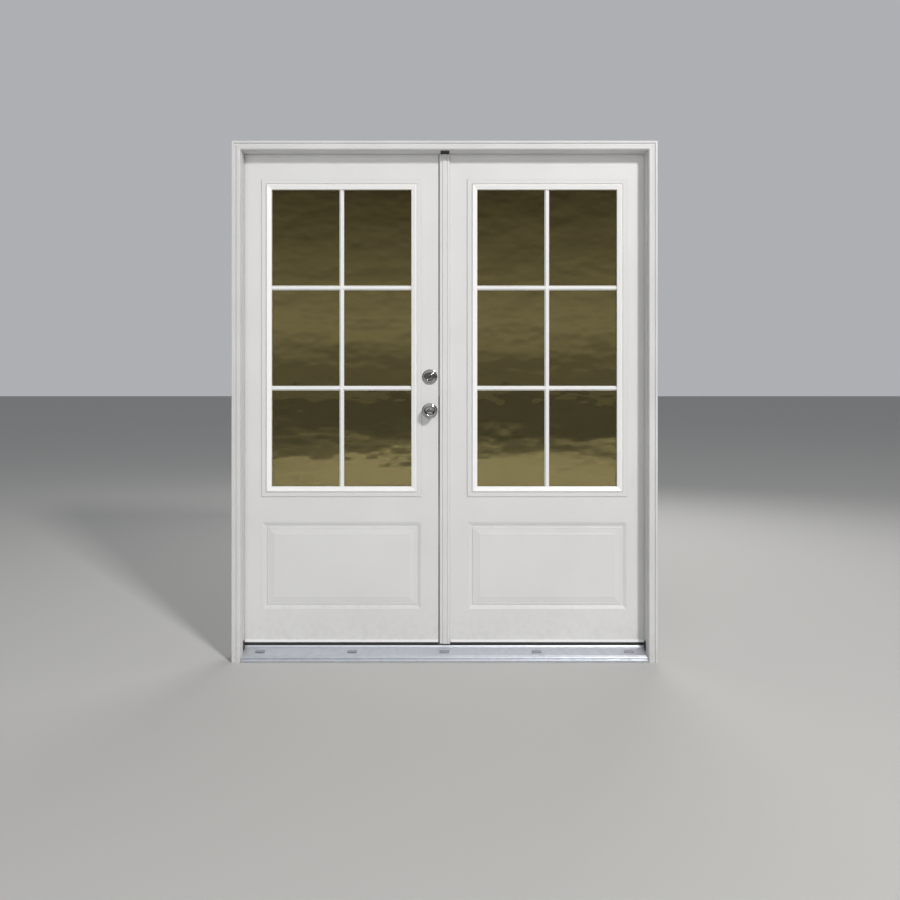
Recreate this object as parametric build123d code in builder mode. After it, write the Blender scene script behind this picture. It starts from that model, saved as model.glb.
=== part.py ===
from build123d import *
from math import atan2, cos, sin
import os

# French doors in their frame. Two leaves open inwards, each a panelled slab with a six-pane light, and
# they meet at a post that the right-hand leaf carries. Millimetres. +X is to the right as seen from
# outside, +Y points indoors, +Z is up, and the origin is the middle of the sill's underside.

# Leaves
leaf_width = 812.8
leaf_height = 2032.0
leaf_thickness = 44.5
leaf_bottom = 56.0
lock_bevel = 2.3
hinge_gap = 3.0
head_gap = 3.0
seal_gap = 4.0
meeting_gap = 3.5
edge_ease = 1.2

# Frame
jamb_depth = 100.0
jamb_back = 20.0
stop_width = 12.5
jamb_ease = 1.5
kerf_width = 3.0
kerf_depth = 9.0
kerf_inset = 4.0
casing_width = 36.0
casing_proud = 16.0
casing_reveal = 1.5
anchor_hole = 5.5
anchor_inset = 25.0

# Sill
sill_top = 49.5
sill_slope_top = 45.5
sill_slope_foot = 18.5
sill_ridge_height = 2.0
sill_ridge_width = 5.0
sill_step_top = 15.0
sill_step_back = 2.5
sill_nose_height = 11.0
sill_nose_length = 8.0
sill_wall = 2.0
cap_top = 50.0
cap_thickness = 6.0
cap_width = 44.0
weep_count = 5
weep_end_inset = 70.0
weep_length = 40.0
weep_width = 11.0
weep_height = 3.4
weep_from_front = 26.0
end_seal_thickness = 3.0
end_seal_width = 16.0
end_seal_top = 73.0
end_seal_inset = 24.0

# Rails and stiles left between a leaf's edges, its light and its raised panel
top_rail = 112.5
middle_rail = 106.5
bottom_rail = 142.0
hinge_stile = 79.0
lock_clearance = 1.25

# Light in each leaf: frame and double glazing
glass_edge = 13.0
pane_thickness = 3.0
glazing_thickness = 22.0
glass_pocket = 16.0
pocket_clearance = 0.5
lite_face = 42.5
lite_crown = 8.5
lite_band = 5.0
lite_band_width = 21.5
lite_quirk_width = 2.5
lite_quirk_depth = 3.0
lite_lip = 1.5
spacer_width = 9.0
spacer_inset = 2.5
bar_width = 18.5
bar_height = 8.0
bar_top_width = 8.0
bar_foot = 2.0
bar_rows = 3

# Raised panel, the same on both faces of a leaf
panel_height = 358.0
panel_inset = 4.5
panel_depth = 6.5
panel_slope = 14.0
panel_border = 48.0
panel_groove = 5.0
panel_bead = 6.0

# Post at the meeting edge
post_width = 41.9
post_proud = 12.0
post_head_gap = 2.0
post_foot_gap = 2.0
post_quirk = 2.5
post_shoulder = 3.5
post_seal_proud = 1.5
post_seal_width = 5.5
head_pad_margin = 3.0

# Sweep under each leaf
sweep_leg = 16.5
sweep_rail = 9.5
sweep_leg_thickness = 5.5
sweep_lip_thickness = 3.5
sweep_lip_clearance = 1.5
sweep_plate = 2.5
sweep_fin = 1.6
sweep_fins = 4
sweep_clearance = 0.6

# Butt hinges
hinge_height = 101.6
hinge_plate = 2.5
hinge_reach = 34.0
hinge_corner = 8.0
hinge_knuckles = 5
knuckle_radius = 6.0
knuckle_gap = 0.3
knuckle_stand_off = 0.5
pin_radius = 3.2
running_clearance = 0.06
pin_head_radius = 5.0
pin_head_height = 2.5
hinge_from_top = 229.0
hinge_from_bottom = 330.0
hinge_screw = 5.0
hinge_screw_head = 8.6
hinge_screw_pitch = 32.0

# Locks on the active leaf
backset = 37.8
knob_height = 962.0
deadbolt_rise = 140.0
cross_bore = 54.0
edge_bore = 25.4
faceplate_width = 25.4
faceplate_height = 57.0
faceplate_thickness = 1.6
case_length = 30.0
bolt_radius = 8.0
bolt_clearance = 0.3
deadbolt_length = 29.0
latch_length = 24.0
deadbolt_throw = 25.4
latch_throw = 12.7
bolt_recess = 0.6
pocket_spare = 2.0
strike_width = 28.0
strike_height = 62.0
strike_thickness = 1.5
rose_diameter = 63.5
rose_height = 9.0
rose_boss = 3.0
collar_height = 15.0
collar_face = 23.0
plug_radius = 9.5
spindle_radius = 4.0
neck_radius = 10.8
knob_radius = 26.0
knob_length = 56.0
turn_length = 40.0
turn_thickness = 9.0
turn_height = 22.0

# Flush bolts in the post
rod_radius = 5.0
rod_length = 330.0
rod_clearance = 0.3
rod_from_side = 12.0
rod_inset = 1.0
rod_travel = 20.0
tab_width = 7.0
tab_height = 12.0
keeper_size = 30.0
keeper_thickness = 1.5
keeper_clearance = 0.6

# Places across the opening, measured from the middle
lock_edge = (post_width + meeting_gap) / 2
hinge_edge = lock_edge + leaf_width
rebate_face = hinge_edge + hinge_gap
reveal_face = rebate_face - stop_width
jamb_outer = rebate_face + jamb_back
casing_inner = reveal_face + casing_reveal
casing_outer = casing_inner + casing_width
lock_stile = backset + rose_diameter / 2 + lock_clearance
glass_width = leaf_width - lock_stile - hinge_stile - 2 * lite_face
leaf_middle = lock_edge + lock_stile + lite_face + glass_width / 2
panel_width = glass_width + 2 * (lite_face - panel_inset)
post_side = -lock_edge + meeting_gap
weep_spacing = 2 * (reveal_face - weep_end_inset) / (weep_count - 1)

# Heights
leaf_top = leaf_bottom + leaf_height
head_rebate = leaf_top + head_gap
head_reveal = head_rebate - stop_width
head_top = head_rebate + jamb_back
casing_head = head_reveal + casing_reveal
casing_top = casing_head + casing_width
panel_bottom = leaf_bottom + bottom_rail
glass_bottom = panel_bottom + panel_height + middle_rail + lite_face
glass_top = leaf_top - top_rail - lite_face
glass_height = glass_top - glass_bottom
knob_z = leaf_bottom + knob_height
deadbolt_z = knob_z + deadbolt_rise
hinge_bottom_z = leaf_bottom + hinge_from_bottom
hinge_top_z = leaf_top - hinge_from_top
hinge_heights = {
    "top": hinge_top_z,
    "middle": (hinge_top_z + hinge_bottom_z) / 2,
    "bottom": hinge_bottom_z,
}

# Depths, from the outer side to the inner side
jamb_in = jamb_depth / 2
jamb_out = -jamb_in
casing_front = jamb_out - casing_proud
leaf_in = jamb_in
leaf_out = leaf_in - leaf_thickness
leaf_mid = (leaf_in + leaf_out) / 2
stop_face = leaf_out - seal_gap
cap_front = jamb_in - cap_width
glazing_out = leaf_mid - glazing_thickness / 2
glazing_in = leaf_mid + glazing_thickness / 2
glazing_depth = glazing_out - leaf_out
hinge_axis_y = leaf_in + knuckle_radius + knuckle_stand_off
hinge_axis_x = hinge_edge + hinge_gap / 2
lock_x = -(lock_edge + backset)
edge_tilt = atan2(lock_bevel, leaf_thickness)
edge_mid_x = -(lock_edge + lock_bevel / 2)

SIDES = {"left": -1, "right": 1}
OWNER = {"left": "active", "right": "inactive"}


def write(part, name):
    """Label a finished piece and write it as its own file."""
    part.label = name
    export_step(part, f"parts/{name}.step")


def box_between(low, high):
    """Solid block between two corners, for cutting away or for adding to the open part."""
    size = [b - a for a, b in zip(low, high)]
    middle = [(a + b) / 2 for a, b in zip(low, high)]
    return Pos(*middle) * Box(*size, mode=Mode.PRIVATE)


def sill_slope_z(y):
    """Height of the sill's sloping top at a depth."""
    share = (y - slope_front_y) / (slope_back_y - slope_front_y)
    return sill_slope_foot + share * (sill_slope_top - sill_slope_foot)


slope_back_y = cap_front - 8.0
slope_front_y = casing_front + sill_nose_length + sill_ridge_width + 1.0


# Frame


def make_jamb(side):
    """Rebated side jamb with a seal kerf, hinge mortises and two anchor holes."""
    with BuildPart() as jamb:
        with BuildSketch(Plane.XY):
            with BuildLine():
                Polyline(
                    (side * jamb_outer, jamb_out),
                    (side * reveal_face, jamb_out),
                    (side * reveal_face, stop_face),
                    (side * rebate_face, stop_face),
                    (side * rebate_face, jamb_in),
                    (side * jamb_outer, jamb_in),
                    close=True,
                )
            make_face()
            kerf_x = side * (reveal_face + kerf_inset + kerf_width / 2)
            with Locations((kerf_x, stop_face - kerf_depth / 2)):
                Rectangle(kerf_width, kerf_depth, mode=Mode.SUBTRACT)
        extrude(amount=head_rebate)
        for z in hinge_heights.values():
            extrude(
                to_extrude=hinge_outline(side * rebate_face, z),
                amount=side * hinge_plate,
                mode=Mode.SUBTRACT,
            )
        for name in ("top", "bottom"):
            anchor_z = (hinge_heights[name] + hinge_heights["middle"]) / 2
            place = Plane(
                origin=(side * jamb_outer, anchor_inset, anchor_z), z_dir=(side, 0, 0)
            )
            with Locations(place):
                Hole(anchor_hole / 2, depth=2 * jamb_back)
    return jamb.part


def make_head_jamb():
    """Head board over both side jambs, with its stop, seal kerf and the notch over the post."""
    with BuildPart() as head:
        with BuildSketch(Plane.XY.offset(head_rebate)):
            with Locations((0, 0)):
                Rectangle(2 * jamb_outer, jamb_depth)
        extrude(amount=jamb_back)
        with BuildSketch(Plane.XY.offset(head_reveal)):
            with Locations((0, (jamb_out + stop_face) / 2)):
                Rectangle(2 * reveal_face, stop_face - jamb_out)
        extrude(amount=stop_width)
        kerf_z = head_reveal + kerf_inset
        add(
            box_between(
                (-reveal_face, stop_face - kerf_depth, kerf_z),
                (reveal_face, stop_face, kerf_z + kerf_width),
            ),
            mode=Mode.SUBTRACT,
        )
        add(head_pad_block(), mode=Mode.SUBTRACT)
        add(keeper_block(head_rebate, 1), mode=Mode.SUBTRACT)
        with Locations(Plane(origin=(rod_x, leaf_mid, head_rebate), z_dir=(0, 0, -1))):
            Hole(rod_radius + keeper_clearance, depth=rod_travel - head_gap + pocket_spare)
        for end in (-1, 1):
            with Locations((end * (lock_edge + hinge_edge) / 2, anchor_inset, head_top)):
                Hole(anchor_hole / 2, depth=2 * jamb_back)
    return head.part


def casing_profile(outer, across):
    """Closed section of the moulded casing: outer fillet, quirk, cove and a rounded inner bead.

    outer maps a distance from the outer edge and a height above the jamb to the sketch's point.
    """
    fillet_width = 0.24 * casing_width
    quirk_floor = 0.7 * casing_proud
    bead_start = 0.58 * casing_width
    bead_end = 0.86 * casing_width
    bead_top = 0.97 * casing_proud
    inner_height = 0.55 * casing_proud
    with BuildLine() as line:
        Polyline(
            outer(0, 0),
            outer(0, casing_proud - 1),
            outer(1, casing_proud),
            outer(fillet_width, casing_proud),
            outer(fillet_width + 1.2, quirk_floor),
        )
        ThreePointArc(
            outer(fillet_width + 1.2, quirk_floor),
            outer(0.45 * casing_width, 0.78 * casing_proud),
            outer(bead_start, bead_top),
        )
        Line(outer(bead_start, bead_top), outer(bead_end, bead_top))
        ThreePointArc(
            outer(bead_end, bead_top),
            outer(0.958 * casing_width, 0.8 * casing_proud),
            outer(casing_width, inner_height),
        )
        Polyline(outer(casing_width, inner_height), outer(casing_width, 0), outer(0, 0))
    return line.line


def mitre_plane(side):
    """Plane through a top corner of the casing, facing outwards and down."""
    return Plane(origin=(side * casing_outer, 0, casing_top), z_dir=(side, 0, -1))


def make_side_casing(side):
    """Casing leg from the ground to its mitre."""
    with BuildPart() as leg:
        with BuildSketch(Plane.XY):
            with BuildLine():
                add(casing_profile(lambda u, v: (side * (casing_outer - u), jamb_out - v), side))
            make_face()
        extrude(amount=casing_top)
        split(bisect_by=mitre_plane(side), keep=Keep.TOP)
    return leg.part


def make_head_casing():
    """Casing across the head, mitred at both ends."""
    with BuildPart() as head:
        with BuildSketch(Plane.YZ):
            with BuildLine():
                add(casing_profile(lambda u, v: (jamb_out - v, casing_top - u), 1))
            make_face()
        extrude(amount=casing_outer, both=True)
        split(bisect_by=mitre_plane(-1), keep=Keep.BOTTOM)
        split(bisect_by=mitre_plane(1), keep=Keep.BOTTOM)
    return head.part


def sill_under_line():
    """Underside of the sill's metal skin, from the nose back to the cap."""
    nose_back = casing_front + sill_wall
    step_y = casing_front + sill_nose_length + sill_step_back + sill_wall
    drop = sill_wall * 1.05
    return [
        (nose_back, 0),
        (nose_back, sill_nose_height - sill_wall),
        (step_y, sill_nose_height - sill_wall + 1),
        (step_y, sill_slope_z(step_y) - drop),
        (slope_back_y + 0.6, sill_slope_top - drop),
        (slope_back_y + 3.6, sill_top - sill_wall),
        (cap_front, sill_top - sill_wall),
    ]


def sill_top_line():
    """Weathered side of the sill's metal skin, from the cap forward to the nose."""
    ridge_back = slope_front_y
    ridge_front = ridge_back - sill_ridge_width
    step_y = casing_front + sill_nose_length + sill_step_back
    return [
        (cap_front, sill_top),
        (slope_back_y + 3, sill_top),
        (slope_back_y, sill_slope_top),
        (ridge_back, sill_slope_foot),
        (ridge_back - 1, sill_slope_foot + sill_ridge_height),
        (ridge_front + 1, sill_slope_foot + sill_ridge_height),
        (ridge_front, sill_slope_foot + sill_ridge_height - 1.5),
        (ridge_front, sill_step_top + 1),
        (step_y, sill_step_top),
        (step_y, sill_nose_height + 1.5),
        (casing_front + 1.5, sill_nose_height),
        (casing_front, sill_nose_height - 1.5),
        (casing_front, 0),
    ]


def notch_sill_ends():
    """Blocks that take the sill back to the stops, outside the rebates."""
    blocks = []
    for side in (-1, 1):
        xs = sorted((side * reveal_face, side * (rebate_face + 1)))
        blocks.append(box_between((xs[0], casing_front - 1, -1), (xs[1], stop_face, cap_top + 1)))
    return blocks


def make_sill_base():
    """Sill core under the metal skin, with the flush bolt's hole."""
    with BuildPart() as base:
        with BuildSketch(Plane.YZ):
            with BuildLine():
                Polyline(
                    *sill_under_line(),
                    (cap_front, cap_top - cap_thickness),
                    (jamb_in, cap_top - cap_thickness),
                    (jamb_in, 0),
                    close=True,
                )
            make_face()
        extrude(amount=rebate_face, both=True)
        for block in notch_sill_ends():
            add(block, mode=Mode.SUBTRACT)
        hole_depth = rod_travel + pocket_spare - (leaf_bottom - cap_top + cap_thickness)
        with Locations((rod_x, leaf_mid, cap_top - cap_thickness)):
            Hole(rod_radius + keeper_clearance, depth=hole_depth)
    return base.part


def make_sill_cover():
    """Sloping metal skin with its front ridge, drip step and nose."""
    with BuildPart() as cover:
        with BuildSketch(Plane.YZ):
            with BuildLine():
                Polyline(*sill_top_line(), *sill_under_line(), close=True)
            make_face()
        extrude(amount=rebate_face, both=True)
        for block in notch_sill_ends():
            add(block, mode=Mode.SUBTRACT)
    return cover.part


def make_threshold_cap():
    """Flat cap under the leaves, eased at its indoor edge, with the flush bolt's keeper let in."""
    with BuildPart() as cap:
        with BuildSketch(Plane.XY.offset(cap_top - cap_thickness)):
            with Locations((0, (cap_front + jamb_in) / 2)):
                Rectangle(2 * rebate_face, cap_width)
        extrude(amount=cap_thickness)
        indoor_edge = cap.edges().filter_by(Axis.X).group_by(Axis.Y)[-1].sort_by(Axis.Z)[-1]
        fillet(indoor_edge, radius=2 * jamb_ease)
        add(keeper_block(cap_top, -1), mode=Mode.SUBTRACT)
        with Locations((rod_x, leaf_mid, cap_top)):
            Hole(rod_radius + keeper_clearance, depth=2 * cap_thickness)
    return cap.part


def make_weep_covers():
    """Small slotted hoods over the weep holes in the sill's slope."""
    y = slope_front_y + weep_from_front
    tilt = atan2(sill_slope_top - sill_slope_foot, slope_back_y - slope_front_y)
    with BuildPart() as hoods:
        for i in range(weep_count):
            x = (i - (weep_count - 1) / 2) * weep_spacing
            seat = Plane(
                origin=(x, y, sill_slope_z(y)), x_dir=(1, 0, 0), z_dir=(0, -sin(tilt), cos(tilt))
            )
            with BuildSketch(seat):
                RectangleRounded(weep_length, weep_width, 0.25 * weep_width)
            extrude(amount=weep_height)
            with BuildSketch(seat.offset(0.3 * weep_height)):
                with Locations((0, -weep_width / 2)):
                    Rectangle(0.8 * weep_length, 0.7 * weep_width)
            extrude(amount=0.4 * weep_height, mode=Mode.SUBTRACT)
    return hoods.part


def make_end_seals():
    """Rubber pads that close the sill's ends against the stops."""
    back = stop_face - end_seal_inset + end_seal_width
    front = back - end_seal_width
    with BuildPart() as seals:
        for side in (-1, 1):
            with BuildSketch(Plane.YZ.offset(side * reveal_face)):
                with BuildLine():
                    Polyline(
                        (front, sill_slope_z(front)),
                        (back, sill_slope_z(back)),
                        (back, end_seal_top),
                        (front, end_seal_top),
                        close=True,
                    )
                make_face()
            extrude(amount=-side * end_seal_thickness)
    return seals.part


def head_pad_block():
    """Block in the head's stop over the post, where the rubber pad sits."""
    half = post_width / 2 - head_pad_margin
    middle = (post_side + lock_edge) / 2
    return box_between(
        (middle - half, jamb_out, head_reveal),
        (middle + half, stop_face, head_reveal + 0.75 * stop_width),
    )


def make_head_pad():
    """Rubber pad in the head's stop over the post."""
    with BuildPart() as pad:
        add(head_pad_block())
    return pad.part


rod_x = post_side + rod_from_side


def keeper_block(face, way):
    """Block of a flush bolt's keeper, let into a face that looks down (way 1) or up (way -1)."""
    half = keeper_size / 2
    zs = sorted((face, face + way * keeper_thickness))
    return box_between(
        (rod_x - half, leaf_mid - half, zs[0]), (rod_x + half, leaf_mid + half, zs[1])
    )


def make_keepers():
    """Keeper plates for the flush bolts, one in the head and one in the threshold."""
    with BuildPart() as keepers:
        for face, way in ((head_rebate, 1), (cap_top, -1)):
            add(keeper_block(face, way))
            with BuildSketch(Plane.XY.offset(face)):
                with Locations((rod_x, leaf_mid)):
                    Circle(rod_radius + keeper_clearance)
            extrude(amount=way * keeper_thickness, mode=Mode.SUBTRACT)
    return keepers.part


def seal_section(reach):
    """Distances of a jamb seal's bulb from the stop's edge, and of its barb in the kerf."""
    barb = (kerf_inset, kerf_inset + kerf_width)
    bulb = (1.5, reach - 2.0)
    return barb, bulb


def make_side_seal(side):
    """Compressible seal on a side stop, its barb in the kerf and its bulb short of the leaf."""
    (barb_low, barb_high), (bulb_low, bulb_high) = seal_section(stop_width)
    tip = stop_face + seal_gap - 0.3
    with BuildPart() as seal:
        with BuildSketch(Plane.XY.offset(cap_top)):
            with BuildLine():
                Polyline(
                    (side * (reveal_face + bulb_low), stop_face),
                    (side * (reveal_face + barb_low), stop_face),
                    (side * (reveal_face + barb_low), stop_face - kerf_depth),
                    (side * (reveal_face + barb_high), stop_face - kerf_depth),
                    (side * (reveal_face + barb_high), stop_face),
                    (side * (reveal_face + bulb_high), stop_face),
                )
                ThreePointArc(
                    (side * (reveal_face + bulb_high), stop_face),
                    (side * (reveal_face + (bulb_low + bulb_high) / 2), tip),
                    (side * (reveal_face + bulb_low), stop_face),
                )
            make_face()
        extrude(amount=head_reveal - cap_top)
    return seal.part


def make_head_seal():
    """Compressible seal on the head's stop, between the two side seals."""
    (barb_low, barb_high), (bulb_low, bulb_high) = seal_section(stop_width)
    tip = stop_face + seal_gap - 0.3
    with BuildPart() as seal:
        with BuildSketch(Plane.YZ):
            with BuildLine():
                Polyline(
                    (stop_face, head_reveal + bulb_low),
                    (stop_face, head_reveal + barb_low),
                    (stop_face - kerf_depth, head_reveal + barb_low),
                    (stop_face - kerf_depth, head_reveal + barb_high),
                    (stop_face, head_reveal + barb_high),
                    (stop_face, head_reveal + bulb_high),
                )
                ThreePointArc(
                    (stop_face, head_reveal + bulb_high),
                    (tip, head_reveal + (bulb_low + bulb_high) / 2),
                    (stop_face, head_reveal + bulb_low),
                )
            make_face()
        extrude(amount=reveal_face, both=True)
        add(head_pad_block(), mode=Mode.SUBTRACT)
    return seal.part


# Hinges


def hinge_outline(x, z):
    """Outline of one hinge plate in the plane at x, rounded at the two corners away from the pin."""
    with BuildSketch(Plane.YZ.offset(x)) as outline:
        with Locations((jamb_in - hinge_reach / 2, z)):
            Rectangle(hinge_reach, hinge_height)
        fillet(outline.vertices().group_by(Axis.X)[0], radius=hinge_corner)
    return outline.sketch


def make_hinge_half(side, z, on_frame):
    """One plate of a butt hinge with its knuckles: the outer three on the frame, two on the leaf."""
    face = side * (rebate_face if on_frame else hinge_edge)
    inward = side if on_frame else -side
    pitch = hinge_height / hinge_knuckles
    first = 0 if on_frame else 1
    axis_x = side * hinge_axis_x
    low = z - hinge_height / 2
    with BuildPart() as half:
        extrude(to_extrude=hinge_outline(face, z), amount=inward * hinge_plate)
        for i in range(first, hinge_knuckles, 2):
            start = low + i * pitch + (knuckle_gap / 2 if i else 0)
            end = low + (i + 1) * pitch - (knuckle_gap / 2 if i < hinge_knuckles - 1 else 0)
            xs = sorted((face, face + inward * hinge_plate))
            add(box_between((xs[0], jamb_in - 1, start), (xs[1], hinge_axis_y, end)))
            with BuildSketch(Plane.XY.offset(start)):
                with Locations((axis_x, hinge_axis_y)):
                    Circle(knuckle_radius)
            extrude(amount=end - start)
        with BuildSketch(Plane.XY.offset(low - 1)):
            with Locations((axis_x, hinge_axis_y)):
                Circle(pin_radius + running_clearance)
        extrude(amount=hinge_height + 2, mode=Mode.SUBTRACT)
        show_side = Plane(
            origin=(face, jamb_in - 0.55 * hinge_reach, z), x_dir=(0, 1, 0), z_dir=(-inward, 0, 0)
        )
        with Locations(show_side):
            with Locations((-4, hinge_screw_pitch), (4, 0), (-4, -hinge_screw_pitch)):
                CounterSinkHole(hinge_screw / 2, hinge_screw_head / 2, depth=2 * hinge_plate)
    return half.part


def make_hinge_pins(side):
    """The three pins of one leaf's hinges, each hanging by its head on the top knuckle."""
    with BuildPart() as pins:
        for z in hinge_heights.values():
            head_seat = z + hinge_height / 2
            with BuildSketch(Plane.XY.offset(z - hinge_height / 2)):
                with Locations((side * hinge_axis_x, hinge_axis_y)):
                    Circle(pin_radius)
            extrude(amount=hinge_height)
            with BuildSketch(Plane.XY.offset(head_seat)):
                with Locations((side * hinge_axis_x, hinge_axis_y)):
                    Circle(pin_head_radius)
            extrude(amount=pin_head_height)
        rims = pins.edges().filter_by(GeomType.CIRCLE).filter_by(
            lambda edge: abs(edge.radius - pin_head_radius) < 0.01
        )
        tops = [edge for edge in rims if any(
            abs(edge.center().Z - z - hinge_height / 2 - pin_head_height) < 0.01
            for z in hinge_heights.values()
        )]
        chamfer(tops, length=0.4 * pin_head_height)
    return pins.part


# Leaves


def frame_path(y, low, high, half_width):
    """Closed rectangle round a leaf's light or panel at depth y, begun in the middle of its foot."""
    with BuildLine() as path:
        Polyline(
            (0, y, low),
            (half_width, y, low),
            (half_width, y, high),
            (-half_width, y, high),
            (-half_width, y, low),
            (0, y, low),
        )
    return path.wire()


def section_plane(y, low):
    """Plane across that path's foot: local x runs away from the opening and local y indoors."""
    return Plane(origin=(0, y, low), x_dir=(0, 0, -1), z_dir=(1, 0, 0))


def on_leaf(part, side):
    """Place a piece built round the middle of the light onto its leaf."""
    return part.moved(Location((side * leaf_middle, 0, 0)))


def panel_channel(inside):
    """Ring that is cut from a face to leave the raised panel: slope, groove, bead and ogee."""
    face = leaf_in if inside else leaf_out
    inward = -1 if inside else 1
    half = panel_width / 2
    bead_start = panel_slope + panel_groove
    bead_end = bead_start + panel_bead
    depth = panel_depth

    def spot(u, v):
        return (-u, inward * v)

    with BuildPart() as channel:
        with BuildSketch(section_plane(face, panel_bottom)):
            with BuildLine():
                Polyline(
                    spot(0, -1),
                    spot(0, 0.8),
                    spot(1.5, 0.8),
                    spot(panel_slope, depth),
                    spot(bead_start, depth),
                    spot(bead_start + 0.5, depth - 2.2),
                )
                ThreePointArc(
                    spot(bead_start + 0.5, depth - 2.2),
                    spot(bead_start + 0.5 * panel_bead, depth - 3.2),
                    spot(bead_end, depth - 2.4),
                )
                ThreePointArc(
                    spot(bead_end, depth - 2.4),
                    spot(0.5 * (bead_end + panel_border), 0.34 * depth),
                    spot(panel_border - 2, 0.9),
                )
                Polyline(
                    spot(panel_border - 2, 0.9), spot(panel_border, 0), spot(panel_border, -1),
                    spot(0, -1),
                )
            make_face()
        sweep(
            path=frame_path(face, panel_bottom, panel_bottom + panel_height, half),
            transition=Transition.RIGHT,
        )
    return channel.part


def edge_plane(z):
    """Plane on the active leaf's bevelled lock edge, facing the post."""
    return Plane(
        origin=(edge_mid_x, leaf_mid, z), x_dir=(sin(edge_tilt), cos(edge_tilt), 0),
        z_dir=(cos(edge_tilt), -sin(edge_tilt), 0),
    )


def make_slab(side, channels):
    """Leaf slab: pocket for the light, raised panels, hinge mortises and, if active, lock bores."""
    active = side < 0
    bevel = lock_bevel if active else 0.0
    with BuildPart() as slab:
        with BuildSketch(Plane.XY.offset(leaf_bottom)):
            with BuildLine():
                Polyline(
                    (side * lock_edge, leaf_in),
                    (side * (lock_edge + bevel), leaf_out),
                    (side * hinge_edge, leaf_out),
                    (side * hinge_edge, leaf_in),
                    close=True,
                )
            make_face()
        extrude(amount=leaf_height)
        chamfer(slab.edges().filter_by(Axis.Z), length=edge_ease)
        pocket_half = glass_width / 2 + glass_pocket
        add(
            box_between(
                (side * leaf_middle - pocket_half, leaf_out - 1, glass_bottom - glass_pocket),
                (side * leaf_middle + pocket_half, leaf_in + 1, glass_top + glass_pocket),
            ),
            mode=Mode.SUBTRACT,
        )
        for channel in channels:
            add(on_leaf(channel, side), mode=Mode.SUBTRACT)
        for z in hinge_heights.values():
            extrude(
                to_extrude=hinge_outline(side * hinge_edge, z),
                amount=-side * hinge_plate,
                mode=Mode.SUBTRACT,
            )
        if active:
            for z in (knob_z, deadbolt_z):
                with BuildSketch(Plane.XZ.offset(-leaf_in - 1)):
                    with Locations((lock_x, z)):
                        Circle(cross_bore / 2)
                extrude(amount=leaf_thickness + 2, mode=Mode.SUBTRACT)
                with BuildSketch(Plane.YZ.offset(lock_x)):
                    with Locations((leaf_mid, z)):
                        Circle(edge_bore / 2)
                extrude(amount=backset + 1, mode=Mode.SUBTRACT)
                with BuildSketch(edge_plane(z)):
                    RectangleRounded(faceplate_width, faceplate_height, 0.25 * faceplate_width)
                extrude(amount=-faceplate_thickness, mode=Mode.SUBTRACT)
    return slab.part


def make_lite_frame(inside):
    """One half of the light's frame: a leg to the glass, a crown, a quirk and a flat band."""
    face = leaf_in if inside else leaf_out
    outward = 1 if inside else -1
    leg = glass_pocket - pocket_clearance
    band_start = lite_face - lite_band_width
    crown_start = 0.72 * band_start

    def spot(u, v):
        return (u, outward * v)

    with BuildPart() as ring:
        with BuildSketch(section_plane(face, glass_bottom)):
            with BuildLine():
                Polyline(
                    spot(0, -glazing_depth), spot(0, lite_lip), spot(crown_start, lite_crown - 0.6)
                )
                ThreePointArc(
                    spot(crown_start, lite_crown - 0.6),
                    spot(0.5 * (crown_start + band_start), lite_crown),
                    spot(band_start, lite_band),
                )
                Polyline(
                    spot(band_start, lite_band),
                    spot(band_start, lite_band - lite_quirk_depth),
                    spot(band_start + lite_quirk_width, lite_band - lite_quirk_depth),
                    spot(band_start + lite_quirk_width, lite_band),
                    spot(lite_face - 2.5, lite_band),
                    spot(lite_face, lite_band - 2.5),
                    spot(lite_face, 0),
                    spot(leg, 0),
                    spot(leg, -glazing_depth),
                    spot(0, -glazing_depth),
                )
            make_face()
        sweep(
            path=frame_path(face, glass_bottom, glass_top, glass_width / 2),
            transition=Transition.RIGHT,
        )
    return ring.part


def make_glass():
    """Inner and outer panes of the sealed unit."""
    width = glass_width + 2 * glass_edge
    height = glass_height + 2 * glass_edge
    with BuildPart() as panes:
        for y in (glazing_out, glazing_in - pane_thickness):
            with BuildSketch(Plane.XZ.offset(-y)):
                with Locations((0, (glass_bottom + glass_top) / 2)):
                    Rectangle(width, height)
            extrude(amount=-pane_thickness)
    return panes.part


def make_spacer():
    """Metal spacer that parts the two panes round their edge."""
    outer_edge = spacer_inset + spacer_width
    with BuildPart() as spacer:
        with BuildSketch(Plane.XZ.offset(-(glazing_out + pane_thickness))):
            with Locations((0, (glass_bottom + glass_top) / 2)):
                Rectangle(glass_width + 2 * outer_edge, glass_height + 2 * outer_edge)
                Rectangle(
                    glass_width + 2 * spacer_inset, glass_height + 2 * spacer_inset,
                    mode=Mode.SUBTRACT,
                )
        extrude(amount=-(glazing_thickness - 2 * pane_thickness))
    return spacer.part


def bar_section(plane, y, outward):
    """Moulded section of a glazing bar, its foot on the glass, in a plane across the bar."""
    foot = bar_width / 2
    top = bar_top_width / 2

    def spot(a, v):
        return (a, y + outward * v)

    with BuildSketch(plane) as section:
        with BuildLine():
            Polyline(
                spot(-top, bar_height), spot(top, bar_height), spot(top + 0.6, bar_height - 0.8)
            )
            ThreePointArc(
                spot(top + 0.6, bar_height - 0.8),
                spot(0.45 * (top + foot) + 0.3, 0.42 * bar_height + 0.4),
                spot(foot, bar_foot),
            )
            Polyline(spot(foot, bar_foot), spot(foot, 0), spot(-foot, 0), spot(-foot, bar_foot))
            ThreePointArc(
                spot(-foot, bar_foot),
                spot(-0.45 * (top + foot) - 0.3, 0.42 * bar_height + 0.4),
                spot(-top - 0.6, bar_height - 0.8),
            )
            Line(spot(-top - 0.6, bar_height - 0.8), spot(-top, bar_height))
        make_face()
    return section.sketch


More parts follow.
